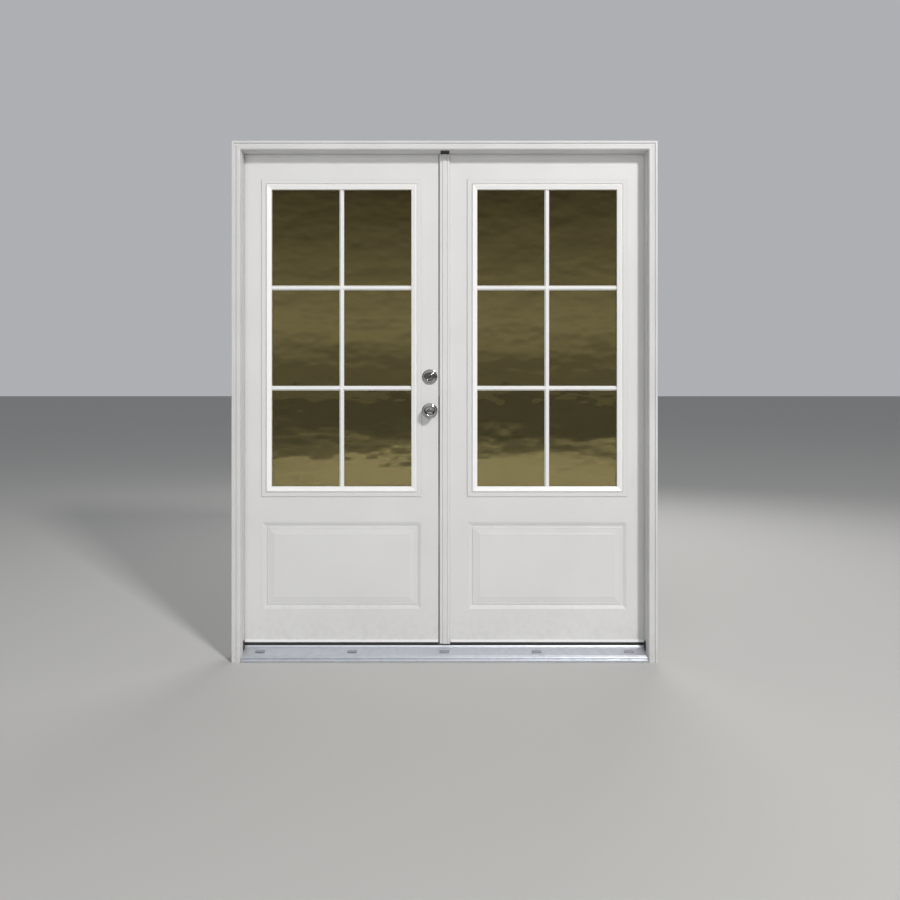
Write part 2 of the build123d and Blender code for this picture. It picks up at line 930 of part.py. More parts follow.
def make_grille():
    """Glazing bars on both faces of the glass: one upright and the bars between the rows."""
    row_height = (glass_height - (bar_rows - 1) * bar_width) / bar_rows
    with BuildPart() as grille:
        for y, outward in ((glazing_out, -1), (glazing_in, 1)):
            upright = bar_section(Plane.XY.offset(glass_bottom), y, outward)
            extrude(to_extrude=upright, amount=glass_height)
            for i in range(1, bar_rows):
                z = glass_bottom + i * (row_height + bar_width) - bar_width / 2
                across = Plane(
                    origin=(-glass_width / 2, 0, z), x_dir=(0, 0, -1), z_dir=(1, 0, 0)
                )
                extrude(to_extrude=bar_section(across, y, outward), amount=glass_width)
    return grille.part


def make_sweep(side):
    """Sweep under a leaf: rail and lip over the outer face, fins that nearly touch the cap."""
    fin_foot = cap_top + sweep_clearance
    plate_low = leaf_bottom - sweep_plate
    lip_low = cap_top + sweep_lip_clearance
    leg_top = leaf_bottom + sweep_leg
    rail_low = leg_top - sweep_rail
    lip_out = leaf_out - sweep_lip_thickness
    leg_out = leaf_out - sweep_leg_thickness
    near = lock_edge + lock_bevel + 0.5
    far = reveal_face - 2.0
    with BuildPart() as sweep_strip:
        with BuildSketch(Plane.YZ.offset(side * near)):
            with BuildLine():
                Polyline(
                    (leaf_in - 2, leaf_bottom),
                    (leaf_in - 2, plate_low),
                    (leaf_out, plate_low),
                    (lip_out + 1, lip_low),
                    (lip_out, lip_low + 1),
                    (lip_out, rail_low),
                    (leg_out, rail_low),
                    (leg_out, leg_top - 2),
                    (leaf_out - 1, leg_top),
                    (leaf_out, leg_top),
                    (leaf_out, leaf_bottom),
                    close=True,
                )
            make_face()
            fin_room = leaf_in - 2 - leaf_out - sweep_fin
            for i in range(sweep_fins):
                y = leaf_out + sweep_fin / 2 + (i + 0.5) * fin_room / sweep_fins
                with Locations((y, (fin_foot + plate_low) / 2)):
                    Rectangle(sweep_fin, plate_low - fin_foot)
        extrude(amount=side * (far - near))
    return sweep_strip.part


# Locks


def turning_plane(x, z, inside):
    """Plane through a lock's axis: local x across the leaf, local y straight out of the face."""
    if inside:
        return Plane(origin=(x, leaf_in, z), x_dir=(1, 0, 0), z_dir=(0, 0, 1))
    return Plane(origin=(x, leaf_out, z), x_dir=(1, 0, 0), z_dir=(0, 0, -1))


def turn(profile, z, inside):
    """Revolve a closed profile of radius and height about a lock's axis on one face."""
    face = leaf_in if inside else leaf_out
    with BuildPart() as turned:
        with BuildSketch(turning_plane(lock_x, z, inside)):
            with BuildLine():
                profile()
            make_face()
        revolve(axis=Axis((lock_x, face, z), (0, 1, 0)))
    return turned.part


def make_knob_rose(inside):
    """Domed rose round a knob's neck, with a boss in the cross bore."""
    bore = neck_radius + running_clearance
    rim = rose_diameter / 2
    boss = cross_bore / 2 - 1

    def profile():
        Polyline(
            (bore, -rose_boss), (bore, rose_height), (bore + 6, rose_height), (rim - 9, 0.8 * rose_height)
        )
        ThreePointArc(
            (rim - 9, 0.8 * rose_height), (rim - 2.5, 0.5 * rose_height), (rim, 0.1 * rose_height)
        )
        Polyline((rim, 0.1 * rose_height), (rim, 0), (boss, 0), (boss, -rose_boss), (bore, -rose_boss))

    return turn(profile, knob_z, inside)


def make_deadbolt_collar():
    """Tapered collar that guards the key cylinder, with a turned groove in its face."""
    bore = plug_radius + running_clearance
    rim = rose_diameter / 2
    boss = cross_bore / 2 - 1

    def profile():
        Polyline(
            (bore, -rose_boss),
            (bore, collar_height - 1),
            (0.62 * collar_face, collar_height - 1),
            (0.68 * collar_face, collar_height),
            (collar_face - 1, collar_height),
            (collar_face, collar_height - 1),
            (rim - 5, 0.35 * collar_height),
        )
        ThreePointArc(
            (rim - 5, 0.35 * collar_height), (rim - 1.2, 0.24 * collar_height), (rim, 0.1 * collar_height)
        )
        Polyline((rim, 0.1 * collar_height), (rim, 0), (boss, 0), (boss, -rose_boss), (bore, -rose_boss))

    return turn(profile, deadbolt_z, False)


def make_thumbturn_rose():
    """Low domed rose behind the thumb turn."""
    bore = plug_radius + running_clearance
    rim = rose_diameter / 2
    boss = cross_bore / 2 - 1

    def profile():
        Polyline((bore, -rose_boss), (bore, rose_height), (rim - 11, rose_height))
        ThreePointArc(
            (rim - 11, rose_height), (rim - 3, 0.62 * rose_height), (rim, 0.1 * rose_height)
        )
        Polyline((rim, 0.1 * rose_height), (rim, 0), (boss, 0), (boss, -rose_boss), (bore, -rose_boss))

    return turn(profile, deadbolt_z, True)


def knob_front():
    """Outline of a knob from the middle of its front to the foot of its neck."""
    ThreePointArc(
        (0, knob_length), (0.5 * knob_radius, knob_length - 1.6), (0.88 * knob_radius, knob_length - 7)
    )
    ThreePointArc(
        (0.88 * knob_radius, knob_length - 7),
        (knob_radius, 0.68 * knob_length),
        (0.72 * knob_radius, 0.5 * knob_length),
    )
    ThreePointArc(
        (0.72 * knob_radius, 0.5 * knob_length),
        (neck_radius + 1.2, 0.36 * knob_length),
        (neck_radius, rose_height + 3),
    )


def make_outer_knob():
    """Outer knob with the spindle that runs through the leaf into the inner knob."""
    tip = -(leaf_thickness + 10)

    def profile():
        knob_front()
        Polyline(
            (neck_radius, rose_height + 3),
            (neck_radius, -rose_boss),
            (spindle_radius, -rose_boss),
            (spindle_radius, tip),
            (0, tip),
            (0, knob_length),
        )

    return turn(profile, knob_z, False)


def make_inner_knob():
    """Inner knob with the blind socket that takes the spindle."""
    socket = 10.0

    def profile():
        knob_front()
        Polyline(
            (neck_radius, rose_height + 3),
            (neck_radius, -rose_boss),
            (spindle_radius, -rose_boss),
            (spindle_radius, socket),
            (0, socket),
            (0, knob_length),
        )

    return turn(profile, knob_z, True)


def make_key_plug():
    """Key cylinder's plug with its key slot and the tail that reaches the thumb turn."""
    tail = -(leaf_thickness + 4)
    tail_radius = 0.6 * spindle_radius
    face = collar_height - 0.6

    def profile():
        Polyline(
            (0, face), (plug_radius - 0.8, face), (plug_radius, face - 0.8),
            (plug_radius, -rose_boss), (tail_radius, -rose_boss), (tail_radius, tail), (0, tail),
            (0, face),
        )

    with BuildPart() as plug:
        add(turn(profile, deadbolt_z, False))
        with BuildSketch(Plane.XZ.offset(-leaf_out + face)):
            with Locations((lock_x, deadbolt_z)):
                Rectangle(1.8, 8.5)
                with Locations((0, 2.6)):
                    Circle(1.7)
        extrude(amount=-9, mode=Mode.SUBTRACT)
    return plug.part


def make_thumbturn():
    """Thumb turn: a neck in its rose and an oval grip, upright while the bolt is drawn."""
    tail_radius = 0.6 * spindle_radius
    neck_top = rose_height + 4

    def profile():
        Polyline(
            (0, 4), (tail_radius, 4), (tail_radius, -rose_boss), (plug_radius, -rose_boss),
            (plug_radius, neck_top), (0, neck_top), (0, 4),
        )

    with BuildPart() as thumb:
        add(turn(profile, deadbolt_z, True))
        grip_plane = Plane(
            origin=(lock_x, leaf_in + rose_height + 1, deadbolt_z), x_dir=(0, 0, 1), z_dir=(0, 1, 0)
        )
        with BuildSketch(grip_plane):
            SlotOverall(turn_length, turn_thickness)
        extrude(amount=turn_height)
        ends = thumb.faces().sort_by(Axis.Y)[-1].edges()
        fillet(ends, radius=0.25 * turn_thickness)
    return thumb.part


def make_lock_cases():
    """Faceplates on the lock edge, each with the tube that guides its bolt."""
    with BuildPart() as cases:
        for z in (knob_z, deadbolt_z):
            with BuildSketch(edge_plane(z)):
                RectangleRounded(faceplate_width, faceplate_height, 0.25 * faceplate_width)
            extrude(amount=-faceplate_thickness)
            start = edge_mid_x - faceplate_thickness / 2
            with BuildSketch(Plane.YZ.offset(start)):
                with Locations((leaf_mid, z)):
                    Circle(edge_bore / 2 - bolt_clearance)
            extrude(amount=-case_length)
            with BuildSketch(Plane.YZ.offset(edge_mid_x + lock_bevel)):
                with Locations((leaf_mid, z)):
                    Circle(bolt_radius + bolt_clearance)
            extrude(amount=-(case_length + 3 * lock_bevel), mode=Mode.SUBTRACT)
    return cases.part


def make_deadbolt():
    """Round deadbolt, drawn back to the faceplate."""
    tip = edge_mid_x - bolt_recess
    with BuildPart() as bolt:
        with BuildSketch(Plane.YZ.offset(tip)):
            with Locations((leaf_mid, deadbolt_z)):
                Circle(bolt_radius)
        extrude(amount=-deadbolt_length)
        chamfer(bolt.faces().sort_by(Axis.X)[-1].edges(), length=1.0)
    return bolt.part


def make_latch():
    """Spring latch, drawn back, with the slope on its outer side that rides over the strike."""
    tip = edge_mid_x - bolt_recess
    with BuildPart() as latch:
        with BuildSketch(Plane.YZ.offset(tip)):
            with Locations((leaf_mid, knob_z)):
                Circle(bolt_radius)
        extrude(amount=-latch_length)
        split(
            bisect_by=Plane(
                origin=(tip, leaf_mid + 0.4 * bolt_radius, knob_z), z_dir=(1, -0.85, 0)
            ),
            keep=Keep.BOTTOM,
        )
    return latch.part


# Post at the meeting edge


def make_post():
    """Meeting post with its moulded outer face, bolt pockets, strike recesses and rod bores."""
    face_low = cap_top + 8
    face_high = head_reveal - post_head_gap
    raised = post_proud - post_shoulder
    near = 0.29 * post_width
    quirk = 0.69 * post_width
    far = post_width

    def spot(u, v):
        return (post_side + u, leaf_out - v)

    with BuildPart() as post:
        with BuildSketch(Plane.XY.offset(leaf_bottom + post_foot_gap)):
            with Locations(((post_side + lock_edge) / 2, leaf_mid)):
                Rectangle(post_width, leaf_thickness)
        extrude(amount=leaf_height - 2 * post_foot_gap)
        with BuildSketch(Plane.XY.offset(face_low)):
            with BuildLine():
                Polyline(
                    spot(0, 0), spot(0, raised - 1.5), spot(1.5, raised), spot(near - 2, raised)
                )
                ThreePointArc(
                    spot(near - 2, raised),
                    spot(near, raised + 0.7 * post_shoulder),
                    spot(near + 3, post_proud),
                )
                Polyline(
                    spot(near + 3, post_proud),
                    spot(quirk - 0.5, post_proud),
                    spot(quirk, post_proud - post_quirk),
                    spot(quirk + post_quirk, post_proud - post_quirk),
                    spot(quirk + post_quirk + 0.5, post_proud - 0.6),
                )
                ThreePointArc(
                    spot(quirk + post_quirk + 0.5, post_proud - 0.6),
                    spot(far - 5, post_proud - 0.2),
                    spot(far, post_proud - 4),
                )
                Polyline(spot(far, post_proud - 4), spot(far, 0), spot(0, 0))
            make_face()
        extrude(amount=face_high - face_low)
        for z, throw in ((knob_z, latch_throw), (deadbolt_z, deadbolt_throw)):
            reach = throw - (post_side - edge_mid_x) - bolt_recess + pocket_spare
            with BuildSketch(Plane.YZ.offset(post_side)):
                with Locations((leaf_mid, z)):
                    Circle(bolt_radius + 2 * bolt_clearance)
            extrude(amount=reach, mode=Mode.SUBTRACT)
            with BuildSketch(Plane.YZ.offset(post_side)):
                with Locations((leaf_mid, z)):
                    Rectangle(strike_width, strike_height)
            extrude(amount=strike_thickness, mode=Mode.SUBTRACT)
        for low, high in rod_rooms():
            with BuildSketch(Plane.XY.offset(low)):
                with Locations((rod_x, leaf_mid)):
                    Circle(rod_radius + rod_clearance)
            extrude(amount=high - low, mode=Mode.SUBTRACT)
        for low, high in tab_rooms():
            add(
                box_between(
                    (post_side - 1, leaf_mid - tab_width / 2 - rod_clearance, low),
                    (rod_x, leaf_mid + tab_width / 2 + rod_clearance, high),
                ),
                mode=Mode.SUBTRACT,
            )
    return post.part


post_low = leaf_bottom + post_foot_gap
post_high = leaf_top - post_foot_gap
top_rod_low = post_high - rod_inset - rod_length
bottom_rod_high = post_low + rod_inset + rod_length


def rod_rooms():
    """Low and high ends of the two rod bores."""
    return [
        (top_rod_low - rod_clearance, post_high + 1),
        (post_low - 1, bottom_rod_high + rod_clearance),
    ]


def tab_rooms():
    """Low and high ends of the two slots that the rods' tabs slide in."""
    return [
        (top_rod_low - rod_clearance, top_rod_low + tab_height + rod_travel + rod_clearance),
        (bottom_rod_high - tab_height - rod_travel - rod_clearance, bottom_rod_high + rod_clearance),
    ]


def make_rod(upper):
    """Flush bolt rod with its thumb tab, drawn into the post."""
    low = top_rod_low if upper else post_low + rod_inset
    tab_low = top_rod_low if upper else bottom_rod_high - tab_height
    with BuildPart() as rod:
        with BuildSketch(Plane.XY.offset(low)):
            with Locations((rod_x, leaf_mid)):
                Circle(rod_radius)
        extrude(amount=rod_length)
        add(
            box_between(
                (post_side + 0.5, leaf_mid - tab_width / 2, tab_low),
                (rod_x, leaf_mid + tab_width / 2, tab_low + tab_height),
            )
        )
        tip = rod.faces().filter_by(Axis.Z).sort_by(Axis.Z)[-1 if upper else 0]
        chamfer(tip.edges(), length=0.2 * rod_radius)
    return rod.part


def make_post_seal():
    """Bulb seal down the post's side, facing the active leaf."""
    low_y = leaf_out + 1.5
    mid_y = low_y + post_seal_width / 2
    with BuildPart() as seal:
        with BuildSketch(Plane.XY.offset(post_low)):
            with BuildLine():
                ThreePointArc(
                    (post_side, low_y),
                    (post_side - post_seal_proud, mid_y),
                    (post_side, low_y + post_seal_width),
                )
                Line((post_side, low_y + post_seal_width), (post_side, low_y))
            make_face()
        extrude(amount=post_high - post_low)
    return seal.part


def make_strikes():
    """Strike plates let into the post's side, one for the latch and one for the deadbolt."""
    with BuildPart() as strikes:
        for z in (knob_z, deadbolt_z):
            with BuildSketch(Plane.YZ.offset(post_side)):
                with Locations((leaf_mid, z)):
                    Rectangle(strike_width, strike_height)
                    Circle(bolt_radius + 2 * bolt_clearance, mode=Mode.SUBTRACT)
                    for end in (-1, 1):
                        with Locations((0, end * 0.36 * strike_height)):
                            Circle(hinge_screw / 2, mode=Mode.SUBTRACT)
            extrude(amount=strike_thickness)
    return strikes.part


os.makedirs("parts", exist_ok=True)

for side_name, side in SIDES.items():
    write(make_jamb(side), f"{side_name}_jamb")
    write(make_side_casing(side), f"{side_name}_casing")
    write(make_side_seal(side), f"{side_name}_weatherstrip")
    write(make_hinge_pins(side), f"{side_name}_hinge_pins")
    for place, z in hinge_heights.items():
        write(make_hinge_half(side, z, True), f"{side_name}_frame_hinge_{place}")
        write(make_hinge_half(side, z, False), f"{OWNER[side_name]}_leaf_hinge_{place}")
write(make_head_jamb(), "head_jamb")
write(make_head_casing(), "head_casing")
write(make_head_seal(), "head_weatherstrip")
write(make_head_pad(), "head_pad")
write(make_sill_base(), "sill_base")
write(make_sill_cover(), "sill_cover")
write(make_threshold_cap(), "threshold_cap")
write(make_weep_covers(), "weep_covers")
write(make_end_seals(), "sill_end_seals")
write(make_keepers(), "flush_bolt_keepers")

channels = [panel_channel(False), panel_channel(True)]
lite_parts = {
    "lite_frame_outer": make_lite_frame(False),
    "lite_frame_inner": make_lite_frame(True),
    "glass": make_glass(),
    "glass_spacer": make_spacer(),
    "grille": make_grille(),
}
for side_name, side in SIDES.items():
    owner = OWNER[side_name]
    write(make_slab(side, channels), f"{owner}_slab")
    write(make_sweep(side), f"{owner}_sweep")
    for name, part in lite_parts.items():
        write(on_leaf(part, side), f"{owner}_{name}")

write(make_knob_rose(False), "knob_outer_rose")
write(make_knob_rose(True), "knob_inner_rose")
write(make_outer_knob(), "knob_outer")
write(make_inner_knob(), "knob_inner")
write(make_deadbolt_collar(), "deadbolt_outer_rose")
write(make_thumbturn_rose(), "deadbolt_inner_rose")
write(make_key_plug(), "key_plug")
write(make_thumbturn(), "thumbturn")
write(make_lock_cases(), "lock_cases")
write(make_deadbolt(), "deadbolt")
write(make_latch(), "latch_bolt")

write(make_post(), "meeting_post")
write(make_post_seal(), "meeting_post_seal")
write(make_strikes(), "strike_plates")
write(make_rod(True), "top_flush_bolt")
write(make_rod(False), "bottom_flush_bolt")
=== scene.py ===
import logging
import math
from dataclasses import dataclass, replace
from enum import Enum
from typing import Optional, Sequence

import bmesh
import bpy
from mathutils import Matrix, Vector


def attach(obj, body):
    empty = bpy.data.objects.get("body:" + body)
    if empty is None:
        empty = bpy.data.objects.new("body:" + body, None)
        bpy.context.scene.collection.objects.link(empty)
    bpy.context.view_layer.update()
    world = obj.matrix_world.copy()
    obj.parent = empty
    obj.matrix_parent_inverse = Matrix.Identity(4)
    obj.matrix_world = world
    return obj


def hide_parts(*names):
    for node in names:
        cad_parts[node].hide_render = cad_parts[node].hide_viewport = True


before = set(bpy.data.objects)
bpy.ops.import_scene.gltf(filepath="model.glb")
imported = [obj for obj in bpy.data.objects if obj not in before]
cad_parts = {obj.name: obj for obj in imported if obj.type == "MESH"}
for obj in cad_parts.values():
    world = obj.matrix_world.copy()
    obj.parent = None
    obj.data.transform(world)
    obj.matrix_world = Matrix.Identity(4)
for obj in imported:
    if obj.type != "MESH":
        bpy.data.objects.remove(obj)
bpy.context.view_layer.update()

log = logging.getLogger("french_doors")

Colour = tuple[float, float, float]
Point = tuple[float, float, float]
Flat = tuple[float, float]
Profile = Sequence[Flat]
Copy = tuple[Point, Point]
Tree = bpy.types.NodeTree
Node = bpy.types.Node
Output = bpy.types.NodeSocket
Outputs = bpy.types.bpy_prop_collection
Material = bpy.types.Material
Object = bpy.types.Object
Shape = bmesh.types.BMesh

FLOAT, VECTOR, GEOMETRY = "NodeSocketFloat", "NodeSocketVector", "NodeSocketGeometry"
DUST_COLOUR: Colour = (0.33, 0.29, 0.23)
LEAF_MID_Y = 0.02775
KNOB_Z = 1.018
DEADBOLT_Z = 1.158
HINGES = {"top": 1.859, "middle": 1.1225, "bottom": 0.386}
HINGE_SCREW_Y = 0.0313
HINGE_SCREW_OFFSETS: Profile = ((-0.004, 0.032), (0.004, 0.0), (-0.004, -0.032))
CREASE = math.radians(32.0)
WELD = 1e-7


class Face(Enum):
    """The two faces of a leaf, by the way their outward side points along Y."""

    OUTDOORS = -1
    INDOORS = 1


class Side(Enum):
    """The two leaves, by their side of the opening as seen from outside."""

    LEFT = -1
    RIGHT = 1


@dataclass(frozen=True)
class Light:
    """The glazed opening of a leaf: its middle and half its sightline sizes."""

    x: float = 0.425
    z: float = 1.319
    half_width: float = 0.289
    half_height: float = 0.614


LIGHT = Light()


# Node trees


class Sheet:
    """A node tree with short calls for adding and joining nodes."""

    PER_ROW = 6
    STEP = (220, -260)

    def __init__(self, tree: Tree) -> None:
        """Wrap a tree.

        Args:
            tree: The tree that nodes are added to.
        """
        self.tree = tree
        self._count = 0

    def add(self, kind: str, inputs: Optional[dict] = None, **settings: object) -> Node:
        """Add one node.

        Args:
            kind: The node's type name.
            inputs: Values or source sockets by input name or number.
            settings: Properties of the node itself.

        Returns:
            The new node.
        """
        node = self.tree.nodes.new(kind)
        row, column = divmod(self._count, self.PER_ROW)
        node.location = (self.STEP[0] * column, self.STEP[1] * row)
        self._count += 1
        for key, value in settings.items():
            setattr(node, key, value)
        self.plug(node, inputs or {})
        return node

    def plug(self, node: Node, inputs: dict) -> None:
        """Set inputs of a node, or join them to sockets.

        Args:
            node: The node.
            inputs: Values or source sockets by input name or number.
        """
        for key, value in inputs.items():
            if isinstance(value, Output):
                self.tree.links.new(value, node.inputs[key])
            else:
                node.inputs[key].default_value = value

    def math(self, operation: str, *values: object, clamp: bool = False) -> Output:
        """Add a maths node and return its result socket."""
        node = self.add("ShaderNodeMath", dict(enumerate(values)), operation=operation, use_clamp=clamp)
        return node.outputs[0]

    def mix(self, share: object, low: object, high: object) -> Output:
        """Mix two colours.

        Args:
            share: Factor socket or number.
            low: Colour at factor 0.
            high: Colour at factor 1.

        Returns:
            The mixed colour's socket.
        """
        inputs = {0: share, 6: self._rgba(low), 7: self._rgba(high)}
        return self.add("ShaderNodeMix", inputs, data_type="RGBA").outputs[2]

    def spread(self, value: Output, low: float, high: float) -> Output:
        """Map a value from 0..1 onto low..high."""
        return self.add("ShaderNodeMapRange", {"Value": value, "To Min": low, "To Max": high}).outputs[0]

    def window(self, value: Output, low: float, high: float) -> Output:
        """Map a value from low..high onto 0..1."""
        return self.add("ShaderNodeMapRange", {"Value": value, "From Min": low, "From Max": high}).outputs[0]

    def place(self) -> Output:
        """Object coordinates."""
        return self.add("ShaderNodeTexCoord").outputs["Object"]

    def split(self, vector: Output) -> Outputs:
        """X, Y and Z of a vector."""
        return self.add("ShaderNodeSeparateXYZ", {0: vector}).outputs

    def noise(self, vector: Output, scale: object, detail: float) -> Output:
        """Noise between 0 and 1 over a vector."""
        return self.add("ShaderNodeTexNoise", {"Vector": vector, "Scale": scale, "Detail": detail}).outputs[0]

    def group(self, tree: Tree, inputs: dict) -> Outputs:
        """Add a shader group with its inputs and return its outputs."""
        return self.add("ShaderNodeGroup", inputs, node_tree=tree).outputs

    def relief(self, height: Output, strength: float, depth: float,
               normal: Optional[Output] = None) -> Output:
        """Add a bump.

        Args:
            height: The relief.
            strength: Its share.
            depth: Its depth in metres.
            normal: The normal that it lies on, where that isn't the mesh's own.

        Returns:
            The new normal's socket.
        """
        inputs = {"Height": height, "Strength": strength, "Distance": depth}
        if normal is not None:
            inputs["Normal"] = normal
        return self.add("ShaderNodeBump", inputs).outputs[0]

    @staticmethod
    def _rgba(value: object) -> object:
        """Give a colour of three numbers its alpha, and leave sockets alone."""
        return value if isinstance(value, Output) else (*value, 1.0)


def open_group(name: str, tree_kind: str, inputs: dict[str, object], outputs: dict[str, str]) -> Sheet:
    """Start a node group with named sockets.

    Args:
        name: The group's name.
        tree_kind: The tree's type name.
        inputs: Default of each input, or the socket's type name where it has none.
        outputs: Socket's type name of each output.

    Returns:
        The group's sheet, still without nodes.
    """
    tree = bpy.data.node_groups.new(name, tree_kind)
    for label, given in inputs.items():
        kind = {float: FLOAT, tuple: VECTOR}.get(type(given))
        socket = tree.interface.new_socket(label, in_out="INPUT", socket_type=kind or given)
        if kind:
            socket.default_value = given
    for label, kind in outputs.items():
        tree.interface.new_socket(label, in_out="OUTPUT", socket_type=kind)
    return Sheet(tree)


class SurfaceNodes:
    """The shader groups that the finishes share, each built once."""

    LYING_SHARE = 0.7

    def __init__(self) -> None:
        """Build the three groups."""
        self.grain = self._build_grain()
        self.edges = self._build_edges()
        self.dust = self._build_dust()

    @staticmethod
    def _build_grain() -> Tree:
        """Fine relief and broad mottling over a surface.

        Returns:
            A group with Height and Mottle.
        """
        sheet = open_group(
            "surface_grain", "ShaderNodeTree",
            {"Scale": 600.0, "Stretch": (1.0, 1.0, 1.0), "Broad Scale": 3.0},
            {"Height": FLOAT, "Mottle": FLOAT},
        )
        given = sheet.add("NodeGroupInput").outputs
        place = sheet.place()
        stretched = sheet.add("ShaderNodeVectorMath", {0: place, 1: given["Stretch"]}, operation="MULTIPLY")
        fine = sheet.noise(stretched.outputs[0], given["Scale"], detail=3.0)
        broad = sheet.noise(place, given["Broad Scale"], detail=4.0)
        sheet.add("NodeGroupOutput", {"Height": fine, "Mottle": sheet.window(broad, low=0.3, high=0.7)})
        return sheet.tree

    @staticmethod
    def _build_edges() -> Tree:
        """Rounded normals at edges and a mask of the edges themselves.

        Returns:
            A group with Mask and Normal.
        """
        # Its mask feeds both the painted highlight on coated finishes' edges and the clean worn edges of
        # metal.
        sheet = open_group(
            "edge_highlight_and_wear", "ShaderNodeTree",
            {"Radius": 0.0012, "Strength": 4.0}, {"Mask": FLOAT, "Normal": VECTOR},
        )
        given = sheet.add("NodeGroupInput").outputs
        rounded = sheet.add("ShaderNodeBevel", {"Radius": given["Radius"]}, samples=6)
        flat = sheet.add("ShaderNodeNewGeometry").outputs["Normal"]
        match = sheet.add("ShaderNodeVectorMath", {0: rounded.outputs[0], 1: flat}, operation="DOT_PRODUCT")
        apart = sheet.math("SUBTRACT", 1.0, match.outputs["Value"])
        mask = sheet.math("MULTIPLY", apart, given["Strength"], clamp=True)
        sheet.add("NodeGroupOutput", {"Mask": mask, "Normal": rounded.outputs[0]})
        return sheet.tree

    @classmethod
    def _build_dust(cls) -> Tree:
        """Dust on upward faces and splash marks that fade with height.

        Returns:
            A group with Mask.
        """
        sheet = open_group("dust", "ShaderNodeTree", {"Splash Height": 0.3, "Amount": 0.3}, {"Mask": FLOAT})
        given = sheet.add("NodeGroupInput").outputs
        place = sheet.place()
        up = sheet.split(sheet.add("ShaderNodeNewGeometry").outputs["Normal"])["Z"]
        share = sheet.math("DIVIDE", sheet.split(place)["Z"], given["Splash Height"])
        low = sheet.math("SUBTRACT", 1.0, share, clamp=True)
        lying = sheet.math("MULTIPLY", up, cls.LYING_SHARE, clamp=True)
        broken = sheet.window(sheet.noise(place, scale=38.0, detail=6.0), low=0.38, high=0.68)
        both = sheet.math("ADD", sheet.math("MULTIPLY", low, low), lying, clamp=True)
        mask = sheet.math("MULTIPLY", sheet.math("MULTIPLY", both, broken), given["Amount"])
        sheet.add("NodeGroupOutput", {"Mask": mask})
        return sheet.tree


SURFACES = SurfaceNodes()


# Zones


@dataclass(frozen=True)
class RingZone:
    """The part of a light's frame that lies beyond a distance from the glass's sightline."""

    beyond: float = 0.0222

    def mask(self, sheet: Sheet) -> Output:
        """Add the nodes that are 1 inside the zone.

        Args:
            sheet: The material's sheet.

        Returns:
            The mask's socket.
        """
        place = sheet.split(sheet.place())
        x = sheet.math("ABSOLUTE", place["X"])
        across = sheet.math("ABSOLUTE", sheet.math("SUBTRACT", x, LIGHT.x))
        up = sheet.math("ABSOLUTE", sheet.math("SUBTRACT", place["Z"], LIGHT.z))
        past_side = sheet.math("SUBTRACT", across, LIGHT.half_width)
        past_end = sheet.math("SUBTRACT", up, LIGHT.half_height)
        return sheet.math("GREATER_THAN", sheet.math("MAXIMUM", past_side, past_end), self.beyond)


@dataclass(frozen=True)
class HeightZone:
    """Everything over a height."""

    above: float

    def mask(self, sheet: Sheet) -> Output:
        """Add the nodes that are 1 inside the zone."""
        return sheet.math("GREATER_THAN", sheet.split(sheet.place())["Z"], self.above)


# Finishes


def open_material(name: str) -> tuple[Material, Sheet, Node]:
    """Start a material.

    Args:
        name: Its name.

    Returns:
        The material, its sheet and its Principled shader.
    """
    material = bpy.data.materials.new(name)
    material.use_nodes = True
    material.node_tree.nodes.clear()
    sheet = Sheet(material.node_tree)
    shader = sheet.add("ShaderNodeBsdfPrincipled")
    sheet.add("ShaderNodeOutputMaterial", {"Surface": shader.outputs[0]})
    return material, sheet, shader


@dataclass(frozen=True)
class CoatedFinish:
    """Paint, moulded plastic or rubber: a coloured skin with relief, a painted highlight along rounded edges,
    and dust.
    """

    name: str
    colour: Colour
    shaded: Colour
    rough: Flat = (0.34, 0.46)
    dust_rough: float = 0.4
    grain_scale: float = 700.0
    stretch: Point = (1.0, 1.0, 1.0)
    relief: float = 0.12
    relief_depth: float = 0.00012
    edge_radius: float = 0.0011
    # edge_colour and edge_share give the painted highlight along rounded edges.
    edge_colour: Optional[Colour] = None
    edge_share: float = 0.35
    dust_amount: float = 0.25
    zone: Optional[RingZone | HeightZone] = None
    zone_colour: Optional[Colour] = None

    def build(self) -> Material:
        """Build the material.

        Returns:
            The material.
        """
        material, sheet, shader = open_material(self.name)
        grain = sheet.group(SURFACES.grain, {"Scale": self.grain_scale, "Stretch": self.stretch})
        edges = sheet.group(SURFACES.edges, {"Radius": self.edge_radius})
        dust = sheet.group(SURFACES.dust, {"Amount": self.dust_amount})["Mask"]
        skin = sheet.mix(grain["Mottle"], self.shaded, self.colour)
        if self.zone is not None:
            skin = sheet.mix(self.zone.mask(sheet), skin, self.zone_colour)
        # Painted highlight: coated finishes turn lighter along their rounded edges.
        painted_edge_highlight = sheet.math("MULTIPLY", edges["Mask"], self.edge_share)
        skin = sheet.mix(painted_edge_highlight, skin, self.edge_colour or self.colour)
        skin = sheet.mix(dust, skin, DUST_COLOUR)
        rough = sheet.spread(grain["Mottle"], *self.rough)
        rough = sheet.math("ADD", rough, sheet.math("MULTIPLY", dust, self.dust_rough), clamp=True)
        normal = sheet.relief(grain["Height"], self.relief, self.relief_depth, edges["Normal"])
        sheet.plug(shader, {"Base Color": skin, "Roughness": rough, "Normal": normal})
        return material


